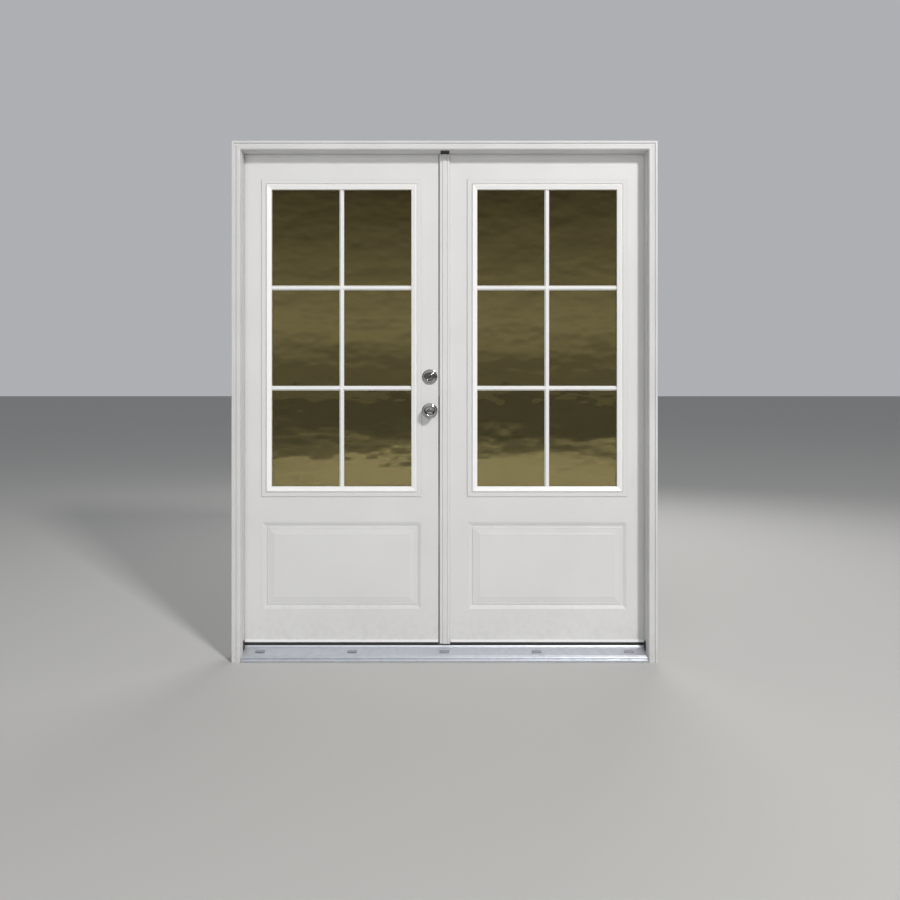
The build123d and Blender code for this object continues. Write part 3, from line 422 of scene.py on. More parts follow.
@dataclass(frozen=True)
class MetalFinish:
    """Bare metal, drawn along one way or turned in rings round a centre."""

    name: str
    colour: Colour
    tarnish: Colour
    rough: Flat = (0.22, 0.36)
    stretch: Point = (1.0, 1.0, 1.0)
    grain_scale: float = 500.0
    broad_scale: float = 40.0
    relief: float = 0.10
    relief_depth: float = 0.00005
    edge_radius: float = 0.0006
    turned_about: Optional[Point] = None
    ring_scale: float = 260.0
    dust_amount: float = 0.0

    def build(self) -> Material:
        """Build the material.

        Returns:
            The material.
        """
        material, sheet, shader = open_material(self.name)
        grain = sheet.group(SURFACES.grain, {
            "Scale": self.grain_scale, "Stretch": self.stretch, "Broad Scale": self.broad_scale,
        })
        edges = sheet.group(SURFACES.edges, {"Radius": self.edge_radius})
        dust = sheet.group(SURFACES.dust, {"Amount": self.dust_amount})["Mask"]
        skin = sheet.mix(grain["Mottle"], self.tarnish, self.colour)
        skin = sheet.mix(edges["Mask"], skin, self.colour)
        skin = sheet.mix(dust, skin, DUST_COLOUR)
        rough = sheet.spread(grain["Height"], *self.rough)
        rough = sheet.math("ADD", rough, dust, clamp=True)
        height = grain["Height"] if self.turned_about is None else self._rings(sheet)
        normal = sheet.relief(height, self.relief, self.relief_depth, edges["Normal"])
        sheet.plug(shader, {"Base Color": skin, "Roughness": rough, "Normal": normal, "Metallic": 1.0})
        return material

    def _rings(self, sheet: Sheet) -> Output:
        """Add turned rings round the metal's centre.

        Args:
            sheet: The material's sheet.

        Returns:
            The rings' height.
        """
        centre = tuple(-c for c in self.turned_about)
        centred = sheet.add("ShaderNodeMapping", {"Vector": sheet.place(), "Location": centre})
        rings = sheet.add(
            "ShaderNodeTexWave", {"Vector": centred.outputs[0], "Scale": self.ring_scale, "Distortion": 0.4},
            wave_type="RINGS", rings_direction="Y",
        )
        return rings.outputs[1]


@dataclass(frozen=True)
class GlassFinish:
    """Dark reflective double glazing, rolled just unevenly enough to bend what it mirrors."""

    name: str
    tint: Colour
    mirror_tint: Colour
    wave_scale: float = 6.0
    wave_depth: float = 0.0024
    flattening: float = 1.7
    index: float = 2.7

    def build(self) -> Material:
        """Build the material.

        Returns:
            The material.
        """
        material, sheet, shader = open_material(self.name)
        scale = (1.0, 1.0, self.flattening)
        place = sheet.add("ShaderNodeMapping", {"Vector": sheet.place(), "Scale": scale})
        waves = sheet.noise(place.outputs[0], self.wave_scale, detail=2.0)
        sheet.plug(shader, {
            "Normal": sheet.relief(waves, strength=0.5, depth=self.wave_depth),
            "Base Color": (*self.tint, 1.0), "Specular Tint": (*self.mirror_tint, 1.0),
            "Roughness": 0.0, "IOR": self.index, "Transmission Weight": 1.0,
        })
        return material


@dataclass(frozen=True)
class TimberFinish:
    """Bare engineered timber with long fibres along X."""

    name: str
    pale: Colour
    dark: Colour

    def build(self) -> Material:
        """Build the material.

        Returns:
            The material.
        """
        material, sheet, shader = open_material(self.name)
        fibres = sheet.group(SURFACES.grain, {"Scale": 260.0, "Stretch": (0.04, 1.0, 1.0)})["Height"]
        edges = sheet.group(SURFACES.edges, {"Radius": 0.001})
        sheet.plug(shader, {
            "Base Color": sheet.mix(fibres, self.dark, self.pale),
            "Roughness": sheet.spread(fibres, low=0.75, high=0.6),
            "Normal": sheet.relief(fibres, strength=0.4, depth=0.0003, normal=edges["Normal"]),
        })
        return material


class Palette:
    """Every finish on the doors, built once."""

    def __init__(self) -> None:
        """Build the materials."""
        # The edge colours of the coated finishes are painted highlights along rounded edges.
        self.frame_paint = CoatedFinish(
            "frame_paint", (0.68, 0.675, 0.67), (0.62, 0.615, 0.61), grain_scale=520.0, relief=0.16,
            edge_colour=(0.76, 0.755, 0.75),
        ).build()
        self.leaf_paint = CoatedFinish(
            "leaf_paint", (0.71, 0.705, 0.70), (0.67, 0.665, 0.66), edge_colour=(0.79, 0.785, 0.78),
        ).build()
        plastic = CoatedFinish(
            "bar_plastic", (0.86, 0.86, 0.85), (0.82, 0.82, 0.81), rough=(0.28, 0.36),
            grain_scale=900.0, relief=0.08, edge_radius=0.0009, edge_colour=(0.90, 0.90, 0.89),
        )
        self.light_plastic = replace(
            plastic, name="light_plastic", colour=(0.91, 0.905, 0.89), shaded=(0.88, 0.875, 0.86),
            edge_share=0.0, zone=RingZone(), zone_colour=(0.69, 0.685, 0.68),
        ).build()
        self.bar_plastic = plastic.build()
        self.sill_metal = MetalFinish(
            "sill_metal", (0.70, 0.72, 0.77), (0.65, 0.67, 0.72), rough=(0.36, 0.44),
            stretch=(0.02, 1.0, 1.0), grain_scale=900.0, relief=0.2, edge_radius=0.0008, dust_amount=0.10,
        ).build()
        # Weep hoods are coloured darker than the sill cover: painted shade standing in for the dark slots
        # under them.
        self.weep_metal = MetalFinish(
            "weep_metal", (0.47, 0.49, 0.52), (0.38, 0.40, 0.43), rough=(0.36, 0.48),
            grain_scale=900.0, edge_radius=0.0005, dust_amount=0.10,
        ).build()
        self.cap_plastic = CoatedFinish(
            "cap_plastic", (0.36, 0.37, 0.38), (0.32, 0.33, 0.34), rough=(0.45, 0.6),
            dust_amount=0.35,
        ).build()
        self.sweep_vinyl = CoatedFinish(
            "sweep_vinyl", (0.022, 0.022, 0.023), (0.016, 0.016, 0.017), rough=(0.4, 0.5),
            stretch=(0.05, 1.0, 1.0), dust_amount=0.06, edge_share=0.0,
            zone=HeightZone(0.0629), zone_colour=(0.88, 0.88, 0.88),
        ).build()
        self.rubber = CoatedFinish(
            "seal_rubber", (0.020, 0.020, 0.021), (0.014, 0.014, 0.015), rough=(0.62, 0.8),
            grain_scale=1500.0, relief=0.3, edge_colour=(0.05, 0.05, 0.05), dust_amount=0.12,
        ).build()
        self.glass = GlassFinish("pane_glass", (0.26, 0.23, 0.13), (1.0, 0.85, 0.40)).build()
        self.spacer = MetalFinish(
            "spacer_metal", (0.62, 0.63, 0.64), (0.5, 0.51, 0.52), stretch=(0.2, 1.0, 0.2),
        ).build()
        self.hinge_metal = MetalFinish(
            "hinge_metal", (0.66, 0.64, 0.61), (0.54, 0.52, 0.49), stretch=(1.0, 1.0, 0.04),
            grain_scale=1400.0, relief=0.2,
        ).build()
        self.bolt_metal = MetalFinish(
            "bolt_metal", (0.60, 0.60, 0.59), (0.48, 0.48, 0.47), stretch=(0.05, 1.0, 1.0),
            grain_scale=1200.0, relief=0.2,
        ).build()
        self.plate_metal = MetalFinish(
            "plate_metal", (0.68, 0.66, 0.63), (0.56, 0.54, 0.51), stretch=(1.0, 1.0, 0.05),
            grain_scale=1200.0, relief=0.2,
        ).build()
        self.screw_metal = MetalFinish(
            "screw_metal", (0.62, 0.60, 0.57), (0.45, 0.43, 0.40), rough=(0.28, 0.42),
            grain_scale=1800.0,
        ).build()
        self.timber = TimberFinish("sill_timber", (0.42, 0.31, 0.20), (0.27, 0.18, 0.11)).build()


# Meshes


class Outline:
    """A profile drawn point by point, as radius and height."""

    def __init__(self, *points: Flat) -> None:
        """Start the profile.

        Args:
            points: Its first points.
        """
        self.points = list(points)

    def line(self, *points: Flat) -> "Outline":
        """Go straight through points."""
        self.points += points
        return self

    def bow(self, end: Flat, bulge: float, steps: int) -> "Outline":
        """Go on in a circular bow.

        Args:
            end: Radius and height where the bow ends.
            bulge: Height of the bow over its chord, as a share of the chord; positive bows to the left.
            steps: Number of points.

        Returns:
            The same profile.
        """
        (ax, ay), (bx, by) = self.points[-1], end
        for i in range(1, steps + 1):
            t = i / steps
            lift = 4 * bulge * t * (1 - t)
            x, y = ax + (bx - ax) * t, ay + (by - ay) * t
            self.points.append((x - (by - ay) * lift, y + (bx - ax) * lift))
        return self


def link(name: str, data: bpy.types.ID) -> Object:
    """Add an object to the scene.

    Args:
        name: Its name.
        data: Its mesh, lamp or camera.

    Returns:
        The new object.
    """
    item = bpy.data.objects.new(name, data)
    bpy.context.scene.collection.objects.link(item)
    return item


def applied(piece: Object) -> bpy.types.Mesh:
    """Mesh of an object with its modifiers applied."""
    graph = bpy.context.evaluated_depsgraph_get()
    return bpy.data.meshes.new_from_object(piece.evaluated_get(graph), depsgraph=graph)


def loft(shape: Shape, rings: Sequence[Sequence[Vector]], capped: bool) -> None:
    """Add a closed solid through rings of places.

    Args:
        shape: The bmesh that it is added to.
        rings: The rings in order; a ring of one place is a pole.
        capped: Whether a face closes each end; else the last ring joins the first.
    """
    corners = [[shape.verts.new(place) for place in ring] for ring in rings]
    after = corners[1:] if capped else corners[1:] + corners[:1]
    for low, high in zip(corners, after):
        count = max(len(low), len(high))
        if count == 1:
            continue
        for i in range(count):
            j = (i + 1) % count
            face = [low[i % len(low)], low[j % len(low)], high[j % len(high)], high[i % len(high)]]
            shape.faces.new(list(dict.fromkeys(face)))
    if capped:
        shape.faces.new(corners[0][::-1])
        shape.faces.new(corners[-1])


def finish_mesh(name: str, shape: Shape, material: Material) -> Object:
    """Turn a bmesh into a linked object with smooth faces and sharp creases.

    Args:
        name: The piece's name.
        shape: The bmesh, freed here.
        material: Its material.

    Returns:
        The new object.
    """
    bmesh.ops.remove_doubles(shape, verts=shape.verts, dist=WELD)
    bmesh.ops.recalc_face_normals(shape, faces=shape.faces)
    for face in shape.faces:
        face.smooth = True
    for edge in shape.edges:
        edge.smooth = len(edge.link_faces) == 2 and edge.calc_face_angle(0.0) < CREASE
    mesh = bpy.data.meshes.new(name)
    shape.to_mesh(mesh)
    shape.free()
    mesh.materials.append(material)
    return link(name, mesh)


@dataclass(frozen=True)
class Lathe:
    """Turned pieces whose axis runs straight out of one face of the leaf."""

    x: float
    face_y: float
    z: float
    face: Face
    segments: int = 112

    def spot(self, across: float, along: float, height: float) -> Vector:
        """Point beside the axis, across in X, along in Z and height out of the face."""
        return Vector((self.x + across, self.face_y + self.face.value * height, self.z + along))

    def turn(self, outline: Outline) -> Shape:
        """Revolve a closed profile.

        Args:
            outline: The profile in metres; points on the axis become poles.

        Returns:
            The closed shell.
        """
        shape = bmesh.new()
        loft(shape, [self._ring(radius, height) for radius, height in outline.points], capped=False)
        return shape

    def _ring(self, radius: float, height: float) -> list[Vector]:
        """Places of one ring round the axis, or the single one on it where the radius is 0."""
        turns = [2 * math.pi * i / self.segments for i in range(self.segments if radius else 1)]
        return [self.spot(radius * math.cos(t), radius * math.sin(t), height) for t in turns]


def dress(material: Material, *names: str) -> None:
    """Give CAD nodes their material.

    Args:
        material: The material.
        names: The nodes.
    """
    for name in names:
        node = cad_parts[name]
        node.data.materials.clear()
        node.data.materials.append(material)
        log.info("dressed %s with %s", name, material.name)


def mount(piece: Object, body: str, slot: str, *nodes: str) -> None:
    """Hang a finished piece on its body.

    Args:
        piece: The new piece, in place.
        body: The CAD body that it moves with.
        slot: The record's material slot; not used.
        nodes: CAD nodes that it stands for.
    """
    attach(piece, body)
    if nodes:
        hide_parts(*nodes)
    log.info("made %s on %s", piece.name, body)


# Repeats


class Repeat:
    """A geometry tree that lays copies of one small shape and ends in a plain mesh."""

    def __init__(self, name: str, material: Material, slot: str, sizes: dict[str, float]) -> None:
        """Open the tree.

        Args:
            name: The tree's name.
            material: Material of the copies.
            slot: Their material slot in the record.
            sizes: The tree's sizes by input name.
        """
        self.material, self.slot = material, slot
        inputs = {"Geometry": GEOMETRY, "Material": "NodeSocketMaterial", **sizes}
        self.sheet = open_group(name, "GeometryNodeTree", inputs, {"Geometry": GEOMETRY})
        self.given = self.sheet.add("NodeGroupInput").outputs

    def vector(self, x: object, y: object, z: object) -> Output:
        """Join three values into a vector."""
        return self.sheet.add("ShaderNodeCombineXYZ", {"X": x, "Y": y, "Z": z}).outputs[0]

    def aim(self) -> Output:
        """Turn a copy's Z to the way that it looks.

        Returns:
            The rotation's socket.
        """
        way = self.sheet.add("GeometryNodeInputNamedAttribute", {"Name": "facing"}, data_type="FLOAT_VECTOR")
        aimed = self.sheet.add("FunctionNodeAlignRotationToVector", {"Vector": way.outputs[0]}, axis="Z")
        return aimed.outputs[0]

    def close(self, shape: Node, rotation: Optional[Output] = None) -> None:
        """Lay the shape on every point, as real geometry in its material.

        Args:
            shape: The node that makes the shape.
            rotation: How each copy is turned.
        """
        inputs = {"Points": self.given["Geometry"], "Instance": shape.outputs[0]}
        if rotation is not None:
            inputs["Rotation"] = rotation
        laid = self.sheet.add("GeometryNodeInstanceOnPoints", inputs)
        real = self.sheet.add("GeometryNodeRealizeInstances", {0: laid.outputs[0]})
        dressed = self.sheet.add(
            "GeometryNodeSetMaterial", {0: real.outputs[0], "Material": self.given["Material"]}
        )
        self.sheet.add("NodeGroupOutput", {0: dressed.outputs[0]})

    def lay(self, name: str, body: str, copies: Sequence[Copy], sizes: Optional[dict] = None) -> None:
        """Run the tree and mount the result.

        Args:
            name: The piece's name.
            body: The CAD body that it moves with.
            copies: Place of each copy and the way that it looks.
            sizes: Values for the tree's inputs that differ from their defaults.
        """
        mesh = bpy.data.meshes.new(name + "_points")
        mesh.from_pydata([place for place, _ in copies], [], [])
        attribute = mesh.attributes.new("facing", "FLOAT_VECTOR", "POINT")
        for i, (_, way) in enumerate(copies):
            attribute.data[i].vector = way
        holder = link(name + "_holder", mesh)
        modifier = holder.modifiers.new("repeat", "NODES")
        modifier.node_group = self.sheet.tree
        values = {"Material": self.material, **(sizes or {})}
        for item in self.sheet.tree.interface.items_tree:
            if item.in_out == "INPUT" and item.name in values:
                modifier[item.identifier] = values[item.name]
        result = applied(holder)
        result.name = name
        bpy.data.objects.remove(holder)
        mount(link(name, result), body, self.slot)


class ScrewRepeat(Repeat):
    """Countersunk screw heads with a cross recess."""

    RECESS_SHARE = 1.15
    MOST_TWIST = 1.5

    def __init__(self, palette: Palette) -> None:
        """Build the tree.

        Args:
            palette: The finishes.
        """
        super().__init__("screw_heads", palette.screw_metal, "hinge_nickel", {
            "Head Radius": 0.0042, "Shank Radius": 0.0024, "Head Depth": 0.0023, "Recess Width": 0.0009,
        })
        sheet, given = self.sheet, self.given
        radius, depth, width = given["Head Radius"], given["Head Depth"], given["Recess Width"]
        cone = sheet.add("GeometryNodeMeshCone", {
            "Vertices": 28, "Radius Top": radius, "Radius Bottom": given["Shank Radius"], "Depth": depth,
        })
        drop = self.vector(0.0, 0.0, sheet.math("MULTIPLY", depth, -1.0))
        sunk = sheet.add("GeometryNodeTransform", {0: cone.outputs[0], "Translation": drop})
        cut = sheet.add("GeometryNodeMeshBoolean", {0: sunk.outputs[0]}, operation="DIFFERENCE")
        length = sheet.math("MULTIPLY", radius, self.RECESS_SHARE)
        for across, along in ((length, width), (width, length)):
            bar = sheet.add("GeometryNodeMeshCube", {"Size": self.vector(across, along, depth)})
            sheet.tree.links.new(bar.outputs[0], cut.inputs[1])
        spin = sheet.add(
            "FunctionNodeRandomValue", {"Min": 0.0, "Max": self.MOST_TWIST, "Seed": 7}, data_type="FLOAT"
        )
        twist = sheet.add("FunctionNodeAxisAngleToRotation", {"Axis": (0, 0, 1), "Angle": spin.outputs[1]})
        turned = sheet.add(
            "FunctionNodeRotateRotation", {0: self.aim(), 1: twist.outputs[0]}, rotation_space="LOCAL"
        )
        self.close(cut, turned.outputs[0])


class PlugRepeat(Repeat):
    """Low round caps over the screws of a light's inner frame."""

    def __init__(self, palette: Palette) -> None:
        """Build the tree.

        Args:
            palette: The finishes.
        """
        sizes = {"Cap Radius": 0.0048, "Cap Height": 0.0009}
        super().__init__("screw_caps", palette.bar_plastic, "bright_white", sizes)
        sheet, radius = self.sheet, self.given["Cap Radius"]
        dome = sheet.add("GeometryNodeMeshUVSphere", {"Segments": 24, "Rings": 12, "Radius": radius})
        scale = self.vector(1.0, 1.0, sheet.math("DIVIDE", self.given["Cap Height"], radius))
        low = sheet.add("GeometryNodeTransform", {0: dome.outputs[0], "Scale": scale})
        self.close(sheet.add("GeometryNodeSetShadeSmooth", {0: low.outputs[0]}), self.aim())


class RibRepeat(Repeat):
    """Fine ribs that run the length of the sill."""

    def __init__(self, palette: Palette) -> None:
        """Build the tree.

        Args:
            palette: The finishes.
        """
        sizes = {"Rib Length": 1.644, "Rib Width": 0.0011, "Rib Height": 0.0008}
        super().__init__("sill_ribs", palette.sill_metal, "sill_aluminium", sizes)
        sheet, given = self.sheet, self.given
        radius, length = sheet.math("MULTIPLY", given["Rib Width"], 0.5), given["Rib Length"]
        bar = sheet.add("GeometryNodeMeshCylinder", {"Vertices": 12, "Radius": radius, "Depth": length})
        lie = sheet.add("GeometryNodeTransform", {0: bar.outputs[0], "Rotation": (0.0, math.pi / 2, 0.0)})
        scale = self.vector(1.0, 1.0, sheet.math("DIVIDE", given["Rib Height"], radius))
        self.close(sheet.add("GeometryNodeTransform", {0: lie.outputs[0], "Scale": scale}))


# Sub-assemblies


def hinge_screws(x: float, way: float) -> list[Copy]:
    """Place the nine screws of one side's hinge plates.

    Args:
        x: Where the plates' faces lie.
        way: The way that the heads look along X.

    Returns:
        The screws, from the top hinge down.
    """
    return [
        ((x, HINGE_SCREW_Y + across, z + along), (way, 0.0, 0.0))
        for z in HINGES.values() for across, along in HINGE_SCREW_OFFSETS
    ]


def lock_screws(x: float, rise: float, way: Point) -> list[Copy]:
    """Place a screw under and over each lock's axis.

    Args:
        x: Where the plates' faces lie.
        rise: Distance of the screws from the axis.
        way: The way that the heads look.

    Returns:
        The screws, the knob's first.
    """
    return [((x, LEAF_MID_Y, z + up * rise), way) for z in (KNOB_Z, DEADBOLT_Z) for up in (-1, 1)]


@dataclass(frozen=True)
class Doorway:
    """Jambs, head, casings, seals, and the frame's halves of the hinges."""

    palette: Palette
    screws: ScrewRepeat
    rebate_face: float = 0.8385
    keeper_x: float = -0.0072
    keeper_faces: Profile = ((2.091, -1.0), (0.050, 1.0))
    keeper_screw: float = 0.0105

    def build(self) -> None:
        """Dress the frame's nodes and drive its screws."""
        dress(self.palette.frame_paint, "left_jamb", "right_jamb", "head_jamb",
              "left_casing", "right_casing", "head_casing")
        dress(self.palette.rubber, "left_weatherstrip", "right_weatherstrip", "head_weatherstrip",
              "sill_end_seals", "head_pad")
        dress(self.palette.plate_metal, "flush_bolt_keepers")
        for side in Side:
            word = side.name.lower()
            plates = (f"{word}_frame_hinge_{place}" for place in HINGES)
            dress(self.palette.hinge_metal, f"{word}_hinge_pins", *plates)
        self._screws()

    def _screws(self) -> None:
        """Drive the screws of the frame's hinge plates and of the two keepers."""
        copies = [
            copy for side in Side
            for copy in hinge_screws(side.value * self.rebate_face, -float(side.value))
        ]
        for z, way in self.keeper_faces:
            for aside in (-self.keeper_screw, self.keeper_screw):
                copies.append(((self.keeper_x + aside, LEAF_MID_Y + aside, z), (0.0, 0.0, way)))
        self.screws.lay("frame_screws", "frame", copies)


@dataclass(frozen=True)
class Sill:
    """Sill cover, its core, the threshold cap and the weep hoods."""

    palette: Palette
    slope_front: Flat = (-0.052, 0.0185)
    slope_back: Flat = (-0.002, 0.0455)
    rib_rows: tuple[float, ...] = (-0.0485, -0.0462, -0.0439, -0.0078, -0.0055, -0.0032)

    def build(self) -> None:
        """Dress the sill and lay its ribs."""
        dress(self.palette.timber, "sill_base")
        dress(self.palette.sill_metal, "sill_cover")
        dress(self.palette.weep_metal, "weep_covers")
        dress(self.palette.cap_plastic, "threshold_cap")
        copies = [((0.0, y, self.height(y)), (0.0, 0.0, 1.0)) for y in self.rib_rows]
        RibRepeat(self.palette).lay("sill_ribs", "frame", copies)

    def height(self, y: float) -> float:
        """Height of the slope at a depth."""
        (front, foot), (back, top) = self.slope_front, self.slope_back
        return foot + (y - front) / (back - front) * (top - foot)


@dataclass(frozen=True)
class Leaf:
    """One leaf: slab, light with its bars, sweep and the leaf's halves of the hinges."""

    palette: Palette
    screws: ScrewRepeat
    plugs: PlugRepeat
    side: Side
    owner: str
    hinge_edge: float = 0.8355
    band_out: float = 0.032
    band_y: float = 0.055
    plug_pitch: float = 0.205

    @property
    def body(self) -> str:
        """Name of the CAD body that the leaf's pieces ride on."""
        return f"{self.owner}_leaf"

    def build(self) -> None:
        """Dress the leaf's nodes, then add its screws and caps."""
        palette, owner = self.palette, self.owner
        dress(palette.leaf_paint, f"{owner}_slab")
        dress(palette.light_plastic, f"{owner}_lite_frame_outer", f"{owner}_lite_frame_inner")
        dress(palette.bar_plastic, f"{owner}_grille")
        dress(palette.glass, f"{owner}_glass")
        dress(palette.spacer, f"{owner}_glass_spacer")
        dress(palette.sweep_vinyl, f"{owner}_sweep")
        dress(palette.hinge_metal, *(f"{owner}_leaf_hinge_{place}" for place in HINGES))
        copies = hinge_screws(self.side.value * self.hinge_edge, float(self.side.value))
        self.screws.lay(f"{owner}_hinge_screws", self.body, copies)
        self._caps()

    def _caps(self) -> None:
        """Set caps round the inner half of the light's frame."""
        half = LIGHT.half_width + self.band_out
        low, high = (LIGHT.z + way * (LIGHT.half_height + self.band_out) for way in (-1, 1))
        centre = self.side.value * LIGHT.x
        across = round(2 * half / self.plug_pitch)
        up = round((high - low) / self.plug_pitch)
        places: list[Point] = []
        for i in range(across):
            x = centre - half + (i + 0.5) * 2 * half / across
            places += [(x, self.band_y, low), (x, self.band_y, high)]
        for i in range(up):
            z = low + (i + 0.5) * (high - low) / up
            places += [(centre - half, self.band_y, z), (centre + half, self.band_y, z)]
        copies = [(place, (0.0, 1.0, 0.0)) for place in places]
        self.plugs.lay(f"{self.owner}_light_caps", self.body, copies)


@dataclass(frozen=True)
class MeetingPost:
    """Post on the inactive leaf with its seal, strikes and flush bolts."""

    palette: Palette
    screws: ScrewRepeat
    side_x: float = -0.0192
    screw_rise: float = 0.02232

    def build(self) -> None:
        """Dress the post and drive the strikes' screws."""
        dress(self.palette.leaf_paint, "meeting_post")
        dress(self.palette.rubber, "meeting_post_seal")
        dress(self.palette.plate_metal, "strike_plates")
        dress(self.palette.bolt_metal, "top_flush_bolt", "bottom_flush_bolt")
        copies = lock_screws(self.side_x, self.screw_rise, (-1.0, 0.0, 0.0))
        sizes = {"Head Radius": 0.0036, "Shank Radius": 0.002}
        self.screws.lay("strike_screws", "inactive_leaf", copies, sizes)


@dataclass(frozen=True)
class Lockset:
    """Knobs, deadbolt collar, thumb turn and the plates and bolts on the lock edge."""

    palette: Palette
    screws: ScrewRepeat
    x: float = -0.0605
    outer_y: float = 0.0055
    inner_y: float = 0.0500
    edge_x: float = -0.02385
    edge_way: Point = (1.0, -0.0517, 0.0)
    screw_rise: float = 0.0215
    rim: float = 0.03175
    neck: float = 0.0108
    bore_gap: float = 0.00006
    plug: float = 0.0095
    knob_radius: float = 0.0262
    knob_length: float = 0.056
    spindle: float = 0.004
    spindle_end: float = -0.0545
    spindle_socket: float = 0.010
    tail: float = 0.0024
    tail_end: float = -0.0485
    tail_socket: float = 0.004
    rose_height: float = 0.009
    collar_height: float = 0.015
    face_radius: float = 0.023
    boss: float = 0.026
    boss_foot: float = -0.003
    slot_start: float = 0.002
    slot_depth: float = 0.0085
    slot_outline: Profile = (
        (-0.0009, -0.0043), (0.0009, -0.0043), (0.0009, 0.0010), (0.0017, 0.0018), (0.0017, 0.0036),
        (0.0009, 0.0044), (-0.0009, 0.0044), (-0.0017, 0.0036), (-0.0017, 0.0018), (-0.0009, 0.0010),
    )
    grip_half: Flat = (0.0045, 0.0200)
    grip_fullness: Flat = (0.8, 0.9)
    grip_layers: Sequence[Point] = (
        (0.0012, 0.62, 0.80), (0.004, 0.66, 0.78), (0.009, 0.88, 0.86), (0.014, 0.98, 0.96),
        (0.0185, 1.0, 1.0), (0.0208, 0.985, 0.95), (0.0222, 0.94, 0.78), (0.0229, 0.84, 0.46),
    )
    grip_segments: int = 64

    def build(self) -> None:
        """Make the turned pieces and dress the rest."""
        knob_metal = self._turned("knob_nickel", KNOB_Z)
        bolt_metal = self._turned("deadbolt_nickel", DEADBOLT_Z)
        for face, word in ((Face.OUTDOORS, "outer"), (Face.INDOORS, "inner")):
            lathe = self._lathe(face, KNOB_Z)
            rose = finish_mesh(f"turned_knob_{word}_rose", lathe.turn(self._rose(self.neck)), knob_metal)
            mount(rose, "active_leaf", "satin_nickel", f"knob_{word}_rose")
            knob = finish_mesh(f"turned_knob_{word}", lathe.turn(self._knob(face)), knob_metal)
            mount(knob, "knob", "satin_nickel", f"knob_{word}")
        self._deadbolt(bolt_metal)
        dress(self.palette.plate_metal, "lock_cases")
        dress(self.palette.bolt_metal, "deadbolt", "latch_bolt")
        copies = lock_screws(self.edge_x, self.screw_rise, self.edge_way)
        sizes = {"Head Radius": 0.0032, "Shank Radius": 0.0019}
        self.screws.lay("faceplate_screws", "active_leaf", copies, sizes)

    def _turned(self, name: str, z: float) -> Material:
        """Build polished metal with turned rings round one lock's axis."""
        return MetalFinish(
            name, (0.46, 0.46, 0.45), (0.32, 0.32, 0.31), rough=(0.03, 0.07),
            turned_about=(self.x, 0.0, z), relief=0.12, relief_depth=0.00003, edge_radius=0.0004,
        ).build()

    def _lathe(self, face: Face, z: float) -> Lathe:
        """Lathe on one face at a lock's height."""
        return Lathe(self.x, self.outer_y if face is Face.OUTDOORS else self.inner_y, z, face)

    def _rose(self, bore: float) -> Outline:
        """Profile of a rose: bead, cove, dome and a thin rim.

        Args:
            bore: Radius of what goes through it.

        Returns:
            The closed profile.
        """
        rim, top, inner = self.rim, self.rose_height, bore + self.bore_gap
        outline = Outline((inner, self.boss_foot), (inner, top))
        outline.line((inner + 0.0012, top + 0.0006), (inner + 0.003, top + 0.0006))
        outline.bow((inner + 0.005, top - 0.0014), 0.2, 5).bow((rim - 0.0075, 0.0062), -0.06, 7)
        outline.bow((rim - 0.0012, 0.0024), 0.16, 8)
        return self._close(outline.line((rim - 0.0012, 0.0016)))

    def _close(self, outline: Outline) -> Outline:
        """End a rose or collar in its thin rim and the boss behind it."""
        rim, boss = self.rim, self.boss
        return outline.line((rim, 0.0012), (rim, 0.0), (boss, 0.0), (boss, self.boss_foot))

    def _knob(self, face: Face) -> Outline:
        """Profile of a knob with a dished front, a button in the dish and a waisted neck.

        Args:
            face: The face that it stands on; the outer one carries the spindle.

        Returns:
            The profile from the front's middle to the foot.
        """
        r, top, neck = self.knob_radius, self.knob_length, self.neck
        outline = Outline((0.0, top - 0.0004)).bow((0.0088, top - 0.0012), 0.03, 6)
        outline.line((0.0096, top - 0.0020), (0.0098, top - 0.0042), (0.0106, top - 0.0044))
        outline.bow((0.0196, top - 0.0014), -0.10, 8).bow((r - 0.0012, top - 0.0062), 0.22, 9)
        outline.bow((r - 0.0058, top - 0.0262), 0.22, 14).bow((neck + 0.0014, 0.0195), -0.12, 9)
        outline.line((neck + 0.0024, 0.0188), (neck + 0.0024, 0.0166), (neck, 0.0158), (neck, self.boss_foot))
        end = self.spindle_end if face is Face.OUTDOORS else self.spindle_socket
        return outline.line((self.spindle, self.boss_foot), (self.spindle, end), (0.0, end))

    def _collar(self) -> Outline:
        """Profile of the collar: inner lip, groove, face band, flare and rim.

        Returns:
            The closed profile.
        """
        inner, top, rim = self.plug + self.bore_gap, self.collar_height, self.rim
        outline = Outline((inner, self.boss_foot), (inner, top - 0.0016), (inner + 0.0006, top - 0.001))
        outline.line((0.0138, top - 0.001), (0.0144, top - 0.0022))
        outline.line((0.0156, top - 0.0022), (0.0162, top - 0.0004))
        outline.bow((self.face_radius, top - 0.0022), 0.10, 8).bow((rim - 0.0048, 0.0052), -0.05, 8)
        outline.bow((rim - 0.0010, 0.0022), 0.2, 6)
        return self._close(outline.line((rim - 0.0008, 0.0015)))

    def _deadbolt(self, metal: Material) -> None:
        """Make the collar and key plug outside and the rose and thumb turn inside.

        Args:
            metal: The deadbolt's turned metal.
        """
        outer, inner = (self._lathe(face, DEADBOLT_Z) for face in Face)
        collar = finish_mesh("turned_deadbolt_collar", outer.turn(self._collar()), metal)
        mount(collar, "active_leaf", "satin_nickel", "deadbolt_outer_rose")
        rose = finish_mesh("turned_deadbolt_rose", inner.turn(self._rose(self.plug)), metal)
        mount(rose, "active_leaf", "satin_nickel", "deadbolt_inner_rose")
        mount(self._key_plug(outer, metal), "turn", "satin_nickel", "key_plug")
        mount(self._thumb_turn(inner, metal), "turn", "satin_nickel", "thumbturn")

